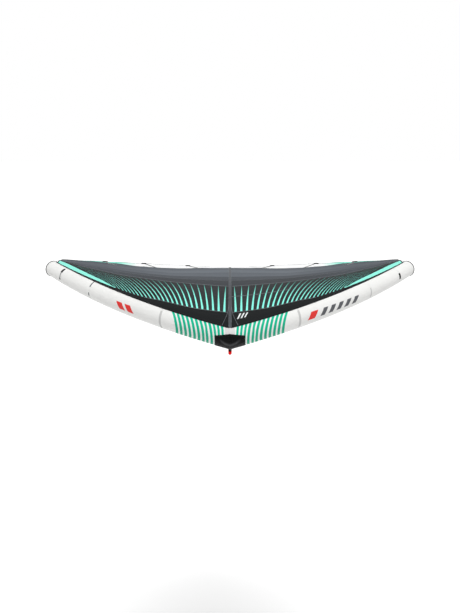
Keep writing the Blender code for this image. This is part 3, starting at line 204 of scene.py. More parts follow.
def tubeCentreAt(share, side):
    return onSide(side, tubeCentre(share)) + nosePlace


def tubeRadius(share):
    return mix(wing["noseRadius"], wing["tipRadius"], share ** wing["taper"])


def attachAngle(share):
    a, b, c = wing["attach"]
    return radians(a + b * share + c * share ** 2)


def leaveAngle(share):
    least, more = wing["wrap"]
    return attachAngle(share) + radians(least + more * (1 - share) ** wing["wrapPower"])


def tubeOutward(share, angle):
    heading = tubeHeading(share)
    up = Vector((0, 0, 1))
    up = (up - heading * heading.z).normalized()
    front = up.cross(heading)
    if front.y > 0:
        front = -front
    return front * cos(angle) + up * sin(angle)


def tubePoint(share, angle, lift=0.0):
    # Rings near the nose lean until the centre one lies in the centre plane
    place = tubeCentre(share) + tubeOutward(share, angle) * (tubeRadius(share) + lift)
    lean = max(0, 1 - share / wing["mitre"])
    heading = tubeHeading(share)
    return place - heading * ((place.x - wing["reach"] * share) / heading.x) * lean


def trailingPoint(x):
    part = x / wing["cornerX"]
    a, b = wing["trailSweepShares"]
    c, d = wing["trailRiseShares"]
    sweep = wing["trailSweep"] * (a * part + b * part ** 2)
    rise = wing["trailRise"] * (c * part + d * part ** 2)
    return Vector((x, wing["rootLength"] - sweep, wing["trailHeight"] + rise))


def slope(degrees):
    return Vector((0, cos(radians(degrees)), sin(radians(degrees))))


def canopyTop(share, chord):
    # From -1 to 0 the cloth lies on the tube, and from 0 to 1 it runs aft
    lift = wing["clothGap"]
    if chord <= 0:
        angle = leaveAngle(share) + (leaveAngle(share) - attachAngle(share)) * chord
        return tubePoint(share, angle, lift)
    start = tubePoint(share, leaveAngle(share), lift)
    end = trailingPoint(start.x)
    length = (end - start).length
    spread = min(1, start.x / wing["rearSpread"])
    leave = slope(wing["frontSlope"][0] + wing["frontSlope"][1] * share) * length
    arrive = slope(wing["rearSlope"][0] + wing["rearSlope"][1] * spread) * length
    cube = chord ** 3
    square = chord ** 2
    place = start * (2 * cube - 3 * square + 1) + leave * (cube - 2 * square + chord)
    return place + end * (3 * square - 2 * cube) + arrive * (cube - square)


def canopyUp(share, chord):
    step = wing["step"]
    line = min(max(chord, -1 + step), 1 - step)
    along = canopyTop(share, line + step) - canopyTop(share, line - step)
    inner = max(0, share - step)
    across = canopyTop(inner + 2 * step, line) - canopyTop(inner, line)
    up = across.cross(along).normalized()
    if share < step:
        up = Vector((0, up.y, up.z)).normalized()
    return up


def chordLength(share):
    start = tubePoint(share, leaveAngle(share))
    return (trailingPoint(start.x) - start).length


def onSide(side, place):
    # Mirrored where the side, or a share, is negative
    return Vector((-place.x, place.y, place.z)) if side < 0 else place


def onCanopy(share, chord, lift=0.0):
    # A place on the cloth; a negative share is on the left
    place = canopyTop(abs(share), chord) + canopyUp(abs(share), chord) * lift
    return onSide(share, place) + nosePlace


def upOnCanopy(share, chord):
    return onSide(share, canopyUp(abs(share), chord))


def onTube(share, angle, lift=0.0):
    return onSide(share, tubePoint(abs(share), angle, lift)) + nosePlace


def centreLine(chord):
    place = canopyTop(0, chord)
    return Vector((0, place.y, place.z))


def strutFrame(chord):
    aft = (centreLine(chord + wing["step"]) - centreLine(chord)).normalized()
    down = Vector((0, aft.z, -aft.y))
    return centreLine(chord), aft, down


def strutRadius(chord):
    return mix(wing["strutFront"], wing["strutRear"], chord ** wing["strutTaper"])


def strutCentre(chord):
    top, _, down = strutFrame(chord)
    return top + down * (wing["strutGap"] + strutRadius(chord)) + nosePlace


def strutPoint(chord, angle, lift=0.0):
    # The angle is 0 at the right side and 90 degrees at the top
    _, _, down = strutFrame(chord)
    outward = Vector((1, 0, 0)) * cos(angle) - down * sin(angle)
    return strutCentre(chord) + outward * (strutRadius(chord) + lift)


# Mesh helpers

def steps(low, high, count):
    return [low + (high - low) * number / count for number in range(count + 1)]


def turns(count):
    return [2 * pi * number / count for number in range(count)]


def makePiece(name, corners, faces, *materials):
    mesh = bpy.data.meshes.new(name)
    mesh.from_pydata(corners, [], faces)
    for key in materials:
        mesh.materials.append(finish[key])
    return newObject(name, mesh)


def addMap(piece, label, pairs):
    # One pair for each corner of each face
    layer = piece.data.uv_layers.new(name=label)
    for spot, pair in zip(layer.data, pairs):
        spot.uv = pair


def soften(piece, degrees=40):
    piece.data.shade_smooth()
    piece.data.set_sharp_from_angle(angle=radians(degrees))
    return piece


def faceOut(piece, degrees=40):
    shape = bmesh.new()
    shape.from_mesh(piece.data)
    bmesh.ops.recalc_face_normals(shape, faces=shape.faces)
    shape.to_mesh(piece.data)
    shape.free()
    return soften(piece, degrees)


def settle(piece, smooth=40):
    # Turns the evaluated piece into a plain mesh and drops its modifiers
    shape = bpy.data.meshes.new_from_object(
        piece.evaluated_get(bpy.context.evaluated_depsgraph_get()))
    piece.modifiers.clear()
    piece.data = shape
    return soften(piece, smooth)


def change(piece, kind, smooth=40, **settings):
    # Keeps the result of one modifier
    modifier = piece.modifiers.new("change", kind)
    for key, value in settings.items():
        setattr(modifier, key, value)
    return settle(piece, smooth)


def thicken(piece, depth):
    return change(piece, "SOLIDIFY", thickness=depth, offset=-1)


def roundEdges(piece, width, smooth=50):
    return change(piece, "BEVEL", smooth, width=width, segments=2, limit_method="ANGLE",
                  angle_limit=radians(30))


def gridFaces(rows, columns):
    faces = []
    for row in range(rows - 1):
        for column in range(columns - 1):
            one = row * columns + column
            faces.append((one, one + 1, one + columns + 1, one + columns))
    return faces


def sweep(name, line, ups, section, material, closed=False):
    # A section of (side, up) pairs carried along a line; uv runs in metres along and across
    count, rings = len(section), len(line)
    around = [0.0]
    for one, two in zip(section, section[1:] + section[:1]):
        around.append(around[-1] + dist(one, two))
    corners = []
    lengths = []
    for number, place in enumerate(line):
        before = line[number - 1] if number or closed else line[0]
        after = line[(number + 1) % rings] if number < rings - 1 or closed else line[-1]
        along = (after - before).normalized()
        side = along.cross(ups[number]).normalized()
        up = side.cross(along)
        lengths.append(lengths[-1] + (place - line[number - 1]).length if number else 0.0)
        corners += [place + side * x + up * y for x, y in section]
    faces = []
    pairs = []
    for row in range(rings if closed else rings - 1):
        there = (row + 1) % rings
        near = lengths[row]
        far = lengths[there] if there else lengths[-1] + (line[0] - line[-1]).length
        for number in range(count):
            after = (number + 1) % count
            faces.append((row * count + number, row * count + after,
                          there * count + after, there * count + number))
            low, high = around[number], around[number + 1]
            pairs += [(near, low), (near, high), (far, high), (far, low)]
    if not closed:
        faces.append(tuple(reversed(range(count))))
        faces.append(tuple((rings - 1) * count + number for number in range(count)))
        pairs += [(0, 0)] * count + [(lengths[-1], 0)] * count
    piece = makePiece(name, corners, faces, material)
    addMap(piece, "cloth", pairs)
    return faceOut(piece)


def tapeSection(width, height):
    # A flat band with rounded edges and a slightly raised middle
    half = width / 2
    return [(-half, 0), (-half * 0.96, height * 0.7), (-half * 0.6, height),
            (half * 0.6, height), (half * 0.96, height * 0.7), (half, 0)]


def ringSection(radius, sides):
    return [(radius * cos(turn), radius * sin(turn)) for turn in turns(sides)]


def turnedPiece(name, place, profile, material, sides=48, loop=False, shapeOf=None):
    # A profile of (radius, height) pairs turned round a frame's Z axis. Radius 0 closes it, and
    # a loop joins its last pair to its first; shapeOf(number, angle) changes a ring's radius
    corners = []
    rings = []
    for row, (radius, height) in enumerate(profile):
        angles = turns(sides) if radius else [0]
        rings.append(list(range(len(corners), len(corners) + len(angles))))
        for angle in angles:
            reach = radius * (shapeOf(row, angle) if shapeOf else 1)
            corners.append(place @ Vector((reach * cos(angle), reach * sin(angle), height)))
    faces = []
    for one, two in zip(rings, rings[1:] + rings[:1] if loop else rings[1:]):
        for number in range(sides):
            after = (number + 1) % sides
            if len(one) == 1:
                faces.append((one[0], two[number], two[after]))
            elif len(two) == 1:
                faces.append((one[number], one[after], two[0]))
            else:
                faces.append((one[number], one[after], two[after], two[number]))
    return faceOut(makePiece(name, corners, faces, material), 35)


def cylinder(name, place, radius, low, high, sides=48):
    return turnedPiece(name, place, ((0, low), (radius, low), (radius, high), (0, high)),
                       "plastic", sides)


def frameOf(place, side, along):
    out = side.cross(along).normalized()
    along = out.cross(side).normalized()
    return Matrix.Translation(place) @ Matrix((side, along, out)).transposed().to_4x4()


def dress(piece, slot, *nodes, body="wing"):
    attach(piece, body)
    if nodes:
        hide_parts(*nodes)
    return piece


# Geometry node trees: a swept round tube, stitches along lines and ribs along a line

def newTree(name, **sizes):
    tree = bpy.data.node_groups.new(name, "GeometryNodeTree")
    for way in ("INPUT", "OUTPUT"):
        tree.interface.new_socket("Geometry", in_out=way, socket_type="NodeSocketGeometry")
    for key, kind in {**sizes, "Finish": "Material"}.items():
        tree.interface.new_socket(key, in_out="INPUT", socket_type=f"NodeSocket{kind}")
    return tree, tree.nodes.new("NodeGroupInput").outputs


def closeTree(tree, source, shape):
    whole = firstOf(tree, "GeometryNodeRealizeInstances", {"Geometry": shape})
    done = firstOf(tree, "GeometryNodeSetMaterial",
                   {"Geometry": whole, "Material": source["Finish"]})
    addNode(tree, "NodeGroupOutput", {0: done})
    return tree


def makeTubeTree():
    tree, source = newTree("sweptTube", Sides="Int")
    curve = firstOf(tree, "GeometryNodeMeshToCurve", {"Mesh": source["Geometry"]})
    size = firstOf(tree, "GeometryNodeInputNamedAttribute", {"Name": "tubeRadius"},
                   data_type="FLOAT")
    thick = firstOf(tree, "GeometryNodeSetCurveRadius", {"Curve": curve, "Radius": size})
    ring = firstOf(tree, "GeometryNodeCurvePrimitiveCircle",
                   {"Resolution": source["Sides"], "Radius": 1})
    body = addNode(tree, "GeometryNodeCurveToMesh",
                   {"Curve": thick, "Profile Curve": ring, "Fill Caps": True})
    if "Scale" in body.inputs:
        tree.links.new(size, body.inputs["Scale"])
    return closeTree(tree, source, body.outputs[0])


def copyAlong(tree, source, shape, sizes):
    # Copies at an even pitch along each line, each with its Z axis along the line
    curve = firstOf(tree, "GeometryNodeMeshToCurve", {"Mesh": source["Geometry"]})
    even = firstOf(tree, "GeometryNodeResampleCurve",
                   {"Curve": curve, "Length": source["Pitch"]}, mode="LENGTH")
    tangent = firstOf(tree, "GeometryNodeInputTangent")
    turn = firstOf(tree, "FunctionNodeAlignRotationToVector", {"Vector": tangent}, axis="Z")
    placed = firstOf(tree, "GeometryNodeInstanceOnPoints",
                     {"Points": even, "Instance": shape, "Rotation": turn, **sizes})
    return closeTree(tree, source, placed)


def makeStitchTree():
    tree, source = newTree("stitchLine", Pitch="Float", Length="Float", Thread="Float", Seed="Int")
    thread = firstOf(tree, "GeometryNodeMeshCylinder",
                     {"Vertices": 6, "Radius": source["Thread"], "Depth": source["Length"]})
    uneven = addNode(tree, "FunctionNodeRandomValue", {"Seed": source["Seed"], 2: 0.85, 3: 1.1},
                     data_type="FLOAT").outputs[1]
    return copyAlong(tree, source, thread, {"Scale": uneven})


def makeRibTree():
    tree, source = newTree("ribLine", Pitch="Float", Radius="Float", Rib="Float")
    path, ring = (firstOf(tree, "GeometryNodeCurvePrimitiveCircle",
                          {"Radius": source[size], "Resolution": sides})
                  for size, sides in (("Radius", 40), ("Rib", 8)))
    rib = firstOf(tree, "GeometryNodeCurveToMesh", {"Curve": path, "Profile Curve": ring})
    return copyAlong(tree, source, rib, {})


trees = {"tube": makeTubeTree(), "stitch": makeStitchTree(), "rib": makeRibTree()}


def fromTree(name, treeName, lines, material, sizes, smooth=40):
    # Runs a tree on lines of places and keeps the result as a plain mesh
    corners = []
    edges = []
    for line in lines:
        edges += [(len(corners) + number, len(corners) + number + 1)
                  for number in range(len(line) - 1)]
        corners += line
    mesh = bpy.data.meshes.new(name)
    mesh.from_pydata(corners, edges, [])
    if "radii" in sizes:
        layer = mesh.attributes.new("tubeRadius", "FLOAT", "POINT")
        layer.data.foreach_set("value", sizes["radii"])
    piece = newObject(name, mesh)
    maker = piece.modifiers.new("maker", "NODES")
    maker.node_group = trees[treeName]
    values = dict(sizes, Finish=finish[material])
    for item in maker.node_group.interface.items_tree:
        if item.in_out == "INPUT" and item.name in values:
            maker[item.identifier] = values[item.name]
    settle(piece, smooth)
    if "tubeRadius" in piece.data.attributes:
        piece.data.attributes.remove(piece.data.attributes["tubeRadius"])
    return piece


def roundTube(name, line, radius, material, sides=10):
    # The radius is one number, or one for each place
    radii = radius if isinstance(radius, list) else [radius] * len(line)
    return fromTree(name, "tube", [line], material, {"Sides": sides, "radii": radii})


def threadsOn(name, lines, material, seed, pitch, length, thread):
    sizes = {"Pitch": pitch, "Length": length, "Thread": thread, "Seed": seed}
    return fromTree(name, "stitch", lines, material, sizes, 60)


# Shader groups shared by the materials

def newGroup(name, sizes, outputs):
    # Every group takes a place and some sizes, and puts out values
    group = bpy.data.node_groups.new(name, "ShaderNodeTree")
    group.interface.new_socket("Place", in_out="INPUT", socket_type="NodeSocketVector")
    for label, value in sizes.items():
        socket = group.interface.new_socket(label, in_out="INPUT", socket_type="NodeSocketFloat")
        socket.default_value = value
    for label in outputs:
        group.interface.new_socket(label, in_out="OUTPUT", socket_type="NodeSocketFloat")
    return group, group.nodes.new("NodeGroupInput").outputs


def makeWeaveGroup():
    # Plain weave with thicker ripstop threads, on a cloth's own map in metres
    group, source = newGroup("threadWeave", {"Pitch": 0.0008, "Grid": 0.006}, ("Height", "Rip"))
    axes = addNode(group, "ShaderNodeSeparateXYZ", {0: source["Place"]}).outputs
    waves = []
    rips = []
    for axis in (axes[0], axes[1]):
        turn = calc(group, "MULTIPLY", calc(group, "DIVIDE", axis, source["Pitch"]), pi)
        waves.append(calc(group, "SINE", turn))
        part = calc(group, "FRACT", calc(group, "DIVIDE", axis, source["Grid"]))
        rips.append(calc(group, "LESS_THAN", part, 0.1))
    over = calc(group, "MULTIPLY_ADD", calc(group, "MULTIPLY", *waves), 0.5, 0.5)
    warp = calc(group, "MULTIPLY", calc(group, "ABSOLUTE", waves[0]), over)
    weft = calc(group, "MULTIPLY", calc(group, "ABSOLUTE", waves[1]),
                calc(group, "SUBTRACT", 1.0, over))
    rip = calc(group, "MAXIMUM", *rips)
    height = calc(group, "MULTIPLY_ADD", rip, 0.8, calc(group, "ADD", warp, weft))
    addNode(group, "NodeGroupOutput", {"Height": height, "Rip": rip})
    return group


def makeToneGroup():
    # Slow colour variation and soft creases
    group, source = newGroup("clothTone", {"Size": 0.15, "Amount": 0.05}, ("Tone", "Crease"))
    scale = calc(group, "DIVIDE", 1.0, source["Size"])
    cloud = firstOf(group, "ShaderNodeTexNoise",
                    {"Vector": source["Place"], "Scale": scale, "Detail": 4.0})
    swing = calc(group, "MULTIPLY", calc(group, "SUBTRACT", cloud, 0.5),
                 calc(group, "MULTIPLY", source["Amount"], 4.0))
    fold = firstOf(group, "ShaderNodeTexNoise",
                   {"Vector": source["Place"], "Scale": calc(group, "MULTIPLY", scale, 2.3),
                    "Detail": 1.5, "Distortion": 0.6})
    ridge = calc(group, "ABSOLUTE", calc(group, "MULTIPLY_ADD", fold, 2.0, -1.0))
    crease = calc(group, "POWER", calc(group, "SUBTRACT", 1.0, ridge), 9.0)
    addNode(group, "NodeGroupOutput", {"Tone": calc(group, "ADD", swing, 1.0), "Crease": crease})
    return group


def makeWearGroup():
    # Rubbed edges, broken up by a fine noise
    group, source = newGroup("edgeWear", {"Amount": 0.5}, ("Mask",))
    edge = addNode(group, "ShaderNodeNewGeometry").outputs["Pointiness"]
    grain = firstOf(group, "ShaderNodeTexNoise", {"Vector": source["Place"], "Scale": 320.0})
    mask = allOf(group, ramp(group, edge, 0.53, 0.62), calc(group, "GREATER_THAN", grain, 0.47),
                 source["Amount"])
    addNode(group, "NodeGroupOutput", {"Mask": mask})
    return group


def allOf(tree, *masks):
    whole = masks[0]
    for mask in masks[1:]:
        whole = calc(tree, "MULTIPLY", whole, mask)
    return whole


def within(tree, value, low, high):
    return allOf(tree, calc(tree, "GREATER_THAN", value, low), calc(tree, "LESS_THAN", value, high))


def ramp(tree, value, low, high, end=1.0, start=0.0):
    # Runs from start to end while the value runs from low to high
    return firstOf(tree, "ShaderNodeMapRange", {"Value": value, "From Min": low, "From Max": high,
                                                "To Min": start, "To Max": end})


def countFrom(tree, value, start, pitch):
    return calc(tree, "DIVIDE", calc(tree, "SUBTRACT", value, start), pitch)


def repeats(tree, number, half, count, ease=0.45):
    # 1 near each whole number from 0 to the count
    off = calc(tree, "ABSOLUTE", calc(tree, "SUBTRACT", number, calc(tree, "ROUND", number)))
    return allOf(tree, calc(tree, "LESS_THAN", off, half),
                 within(tree, number, -ease, count - 1 + ease))


def mixColour(tree, factor, one, two, blend="MIX"):
    node = addNode(tree, "ShaderNodeMix", {0: factor, 6: one, 7: two}, data_type="RGBA",
                   blend_type=blend)
    return node.outputs[2]


groups = {"weave": makeWeaveGroup(), "tone": makeToneGroup(), "wear": makeWearGroup()}


def tint(red, green, blue):
    # A screen colour from 0 to 255, as the linear colour that a shader takes
    def straight(level):
        level /= 255
        return level / 12.92 if level <= 0.04045 else ((level + 0.055) / 1.055) ** 2.4
    return (straight(red), straight(green), straight(blue), 1)


def useGroup(tree, key, values):
    return addNode(tree, "ShaderNodeGroup", values, node_tree=groups[key]).outputs


def panelAxes(tree):
    place = firstOf(tree, "ShaderNodeUVMap", uv_map="panel")
    return addNode(tree, "ShaderNodeSeparateXYZ", {0: place}).outputs[:2]


def objectPlace(tree):
    return addNode(tree, "ShaderNodeTexCoord").outputs["Object"]


def newMaterial(name):
    material = bpy.data.materials.new(name)
    material.use_nodes = True
    return material, material.node_tree, material.node_tree.nodes["Principled BSDF"].inputs


def cloth(name, colour, paint=None, rough=0.55, sheen=0.0, pitch=0.0008, grid=0.006, rips=0.1,
          tone=0.05, size=0.2, bump=0.5, gloss=0.5):
    # Woven cloth with ripstop threads; paint puts a printed pattern on its colour, and on some
    # cloths painted light and shade
    material, tree, shader = newMaterial(name)
    place = firstOf(tree, "ShaderNodeUVMap", uv_map="cloth")
    threads = useGroup(tree, "weave", {"Place": place, "Pitch": pitch, "Grid": grid})
    clouds = useGroup(tree, "tone", {"Place": objectPlace(tree), "Size": size, "Amount": tone})
    base = paint(tree, colour) if paint else colour
    base = mixColour(tree, 1.0, base, clouds["Tone"], "MULTIPLY")
    dark = calc(tree, "MULTIPLY_ADD", threads["Rip"], -rips, 1.0)
    folds = firstOf(tree, "ShaderNodeBump",
                    {"Strength": 0.6, "Distance": 0.002, "Height": clouds["Crease"]})
    weave = firstOf(tree, "ShaderNodeBump",
                    {"Strength": bump, "Distance": pitch * 0.25, "Height": threads["Height"],
                     "Normal": folds})
    fillSockets(tree, shader, {
        "Base Color": mixColour(tree, 1.0, base, dark, "MULTIPLY"), "Normal": weave,
        "Roughness": calc(tree, "MULTIPLY_ADD", clouds["Tone"], 0.4, rough - 0.4),
        "Sheen Weight": sheen, "Specular IOR Level": gloss})
    return material


def moulded(name, colour, rough=0.4, grain=0.00006, scale=900.0, wear=0.4, metal=0.0, tone=0.06):
    # Moulded plastic, rubber or metal with a fine grain and rubbed edges
    material, tree, shader = newMaterial(name)
    solid = objectPlace(tree)
    clouds = useGroup(tree, "tone", {"Place": solid, "Size": 0.03, "Amount": tone})
    rubbed = useGroup(tree, "wear", {"Place": solid, "Amount": wear})["Mask"]
    base = mixColour(tree, 1.0, colour, clouds["Tone"], "MULTIPLY")
    worn = tuple(min(1, level * 2.2 + 0.03) for level in colour[:3]) + (1,)
    level = calc(tree, "MULTIPLY_ADD", clouds["Tone"], 0.35, rough - 0.35)
    fine = firstOf(tree, "ShaderNodeTexNoise", {"Vector": solid, "Scale": scale, "Detail": 3.0})
    fillSockets(tree, shader, {
        "Base Color": mixColour(tree, rubbed, base, worn), "Metallic": metal,
        "Roughness": calc(tree, "MULTIPLY_ADD", rubbed, 0.2, level),
        "Normal": firstOf(tree, "ShaderNodeBump",
                          {"Strength": 0.6, "Distance": grain, "Height": fine})})
    return material


def clear(name, colour, rough, weight):
    material, tree, shader = newMaterial(name)
    clouds = useGroup(tree, "tone", {"Place": objectPlace(tree), "Size": 0.05, "Amount": 0.05})
    fillSockets(tree, shader, {
        "Base Color": mixColour(tree, 1.0, colour, clouds["Tone"], "MULTIPLY"),
        "Roughness": calc(tree, "MULTIPLY_ADD", clouds["Tone"], 0.2, rough - 0.2),
        "Normal": firstOf(tree, "ShaderNodeBump",
                          {"Strength": 0.4, "Distance": 0.001, "Height": clouds["Crease"]}),
        "Transmission Weight": weight, "IOR": 1.45})
    return material


# Printed patterns, and painted light and shade

# The two greens are painted shade: the bands are lighter high on the tube and darker low down
bands = {"first": 0.048, "near": 0.0252, "change": 3.0, "far": 0.033, "count": 12, "half": 0.3,
         "shift": 0.047, "peak": -20.0, "span": 61.0, "full": 0.14, "high": 40.0, "low": -75.0,
         "litGreen": tint(0, 190, 150), "shadedGreen": tint(0, 146, 112)}


def paintBands(tree, colour):
    # Green bands round the tube on both sides of the nose, with painted shade that darkens them
    # towards the tube's underside
    x, angle = panelAxes(tree)
    across = calc(tree, "ABSOLUTE", x)
    degrees = calc(tree, "MULTIPLY", angle, 360.0)
    turned = countFrom(tree, degrees, bands["peak"], bands["span"])
    lean = calc(tree, "SUBTRACT", 1.0, calc(tree, "MULTIPLY", turned, turned))
    lean = calc(tree, "MULTIPLY", lean, ramp(tree, across, 0.0, bands["full"]))
    there = calc(tree, "MULTIPLY_ADD", lean, bands["shift"], across)
    near = countFrom(tree, there, bands["first"], bands["near"])
    far = countFrom(tree, there, bands["first"] + bands["near"] * bands["change"], bands["far"])
    number = calc(tree, "MINIMUM", near, calc(tree, "ADD", far, bands["change"]))
    # Painted shade: 0 high on the tube, 1 towards its underside
    low = ramp(tree, degrees, bands["high"], bands["low"])
    return mixColour(tree, repeats(tree, number, bands["half"], bands["count"]), colour,
                     mixColour(tree, low, bands["litGreen"], bands["shadedGreen"]))


# Slanted bars on the tube: the first one's place, the pitch, the count and half a bar's width
plainBars = {"right": ((0.575, 0.07, 1, 0.4, tint(226, 52, 48)),
                       (0.665, 0.066, 5, 0.27, tint(88, 90, 94))),
             "left": ((0.72, 0.07, 2, 0.34, tint(226, 52, 48)),),
             "lean": 0.0009, "low": -20.0, "high": 14.0}


def paintBars(side):
    def paint(tree, colour):
        x, angle = panelAxes(tree)
        degrees = calc(tree, "MULTIPLY", angle, 360.0)
        lean = calc(tree, "MULTIPLY_ADD", degrees, -plainBars["lean"], calc(tree, "ABSOLUTE", x))
        inside = within(tree, degrees, plainBars["low"], plainBars["high"])
        for start, pitch, count, half, shade in plainBars[side]:
            mask = repeats(tree, countFrom(tree, lean, start, pitch), half, count)
            colour = mixColour(tree, allOf(tree, mask, inside), colour, shade)
        return colour
    return paint


stripes = {"foot": 0.0425, "footPitch": 0.0425, "head": 0.034, "headPitch": 0.0585, "count": 29,
           "crowd": 0.215, "headCrowd": 0.105, "bend": 1.12, "half": 0.165, "least": 0.03,
           "taper": 1.3, "narrow": (0.35, 1.0, 0.5), "dim": (0.85, 1.15, 0.6),
           "light": tint(142, 248, 230), "dark": tint(54, 118, 108), "fade": 3.6, "end": 0.985,
           "ground": (0.3, 0.75, 0.9), "deep": tint(27, 27, 29)}


def paintStripes(tree, colour):
    # Tapering stripes that fan out from the front seam to the main seam
    x, run = panelAxes(tree)
    across = calc(tree, "ABSOLUTE", x)
    part = ramp(tree, run, 0.0, 1.0)
    bend = calc(tree, "POWER", part, stripes["bend"])

    def bent(foot, head):
        return calc(tree, "MULTIPLY_ADD", bend, stripes[head] - stripes[foot], stripes[foot])
    crowd = calc(tree, "MULTIPLY_ADD", across, bent("crowd", "headCrowd"), 1.0)
    number = calc(tree, "DIVIDE", calc(tree, "SUBTRACT", calc(tree, "MULTIPLY", across, crowd),
                                       bent("foot", "head")), bent("footPitch", "headPitch"))
    rest = calc(tree, "POWER", calc(tree, "SUBTRACT", 1.0, part), stripes["taper"])
    half = calc(tree, "MULTIPLY", ramp(tree, across, *stripes["narrow"], start=1.0),
                calc(tree, "MULTIPLY_ADD", rest, stripes["half"], stripes["least"]))
    mask = allOf(tree, repeats(tree, number, half, stripes["count"], 0.5),
                 calc(tree, "LESS_THAN", run, stripes["end"]))
    fade = calc(tree, "MAXIMUM", calc(tree, "POWER", part, stripes["fade"]),
                ramp(tree, across, *stripes["dim"]))
    # The cloth is darker between the outboard stripes
    deep = calc(tree, "MULTIPLY", ramp(tree, across, *stripes["ground"]), rest)
    return mixColour(tree, mask, mixColour(tree, deep, colour, stripes["deep"]),
                     mixColour(tree, fade, stripes["light"], stripes["dark"]))


frontBars = {"start": 0.085, "pitch": 0.026, "count": 3, "half": 0.22, "low": -0.95, "high": -0.26,
             "lean": 0.03, "white": tint(228, 232, 232)}


def paintFrontBars(tree, colour):
    x, run = panelAxes(tree)
    lean = calc(tree, "MULTIPLY_ADD", run, -frontBars["lean"], x)
    number = countFrom(tree, lean, frontBars["start"], frontBars["pitch"])
    mask = allOf(tree, repeats(tree, number, frontBars["half"], frontBars["count"]),
                 within(tree, run, frontBars["low"], frontBars["high"]))
    return mixColour(tree, mask, colour, frontBars["white"])


# Where each print, and the painted light and shade on the rear panel, starts and ends across the
# wing, and its colours
printsAndShade = {
    "wedgeFrom": 0.9, "wedgeTape": tint(30, 32, 34), "whiteTo": (0.84, 1.0),
    "trailingEnd": tint(132, 238, 214), "rearTo": (0.5, 1.1, 0.75), "rearEnd": tint(74, 79, 86),
    # The rear bands hold painted light and shade from the cloth's folds
    "rear": ((1, 1.13, tint(60, 63, 67)), (1.13, 1.26, tint(74, 78, 83)),
             (1.26, 1.29, tint(98, 104, 111)), (1.42, 1.45, tint(78, 83, 89)),
             (1.45, 1.72, tint(98, 104, 111)), (1.72, 2, tint(88, 94, 101))),
    "spineBand": (0.62, 0.97), "spineLight": tint(120, 125, 130),
}


def paintWedge(tree, colour):
    # Aqua outboard, black where the band is only a seam tape
    inboard = calc(tree, "LESS_THAN", calc(tree, "ABSOLUTE", panelAxes(tree)[0]),
                   printsAndShade["wedgeFrom"])
    return mixColour(tree, inboard, colour, printsAndShade["wedgeTape"])


def paintRear(tree, colour):
    # Bands of greys along the chord, darkest beside the main seam; behind it the lighter and darker
    # bands and thin streaks are painted light and shade from the cloth's folds, and the panel is
    # darker outboard
    x, run = panelAxes(tree)
    for low, high, shade in printsAndShade["rear"]:
        colour = mixColour(tree, within(tree, run, low, high), colour, shade)
    outboard = ramp(tree, calc(tree, "ABSOLUTE", x), *printsAndShade["rearTo"])
    return mixColour(tree, outboard, colour, printsAndShade["rearEnd"])


def paintTrailing(tree, colour):
    across = calc(tree, "ABSOLUTE", panelAxes(tree)[0])
    return mixColour(tree, ramp(tree, across, *printsAndShade["whiteTo"]), colour, printsAndShade["trailingEnd"])


def paintSpine(tree, colour):
    # Two light bands beside a darker middle
    band = within(tree, calc(tree, "ABSOLUTE", panelAxes(tree)[1]), *printsAndShade["spineBand"])
    return mixColour(tree, band, colour, printsAndShade["spineLight"])


# Where the painted highlight lies on the nose guard, and its grey
guardHighlight = {"low": -0.046, "rise": 6.0, "half": 0.018, "most": 0.5, "ends": (0.08, 0.05),
         "grey": tint(96, 97, 99)}


def paintGuardHighlight(tree, colour):
    # A painted highlight along a soft fold that dips to the middle of the guard
    x, _, z = addNode(tree, "ShaderNodeSeparateXYZ", {0: objectPlace(tree)}).outputs
    line = calc(tree, "MULTIPLY_ADD", calc(tree, "MULTIPLY", x, x), guardHighlight["rise"], guardHighlight["low"])
    off = calc(tree, "ABSOLUTE", calc(tree, "SUBTRACT", z, line))
    mask = calc(tree, "MULTIPLY", ramp(tree, off, guardHighlight["half"], 0.0, guardHighlight["most"]),
                ramp(tree, calc(tree, "ABSOLUTE", x), *guardHighlight["ends"]))
    return mixColour(tree, mask, colour, guardHighlight["grey"])


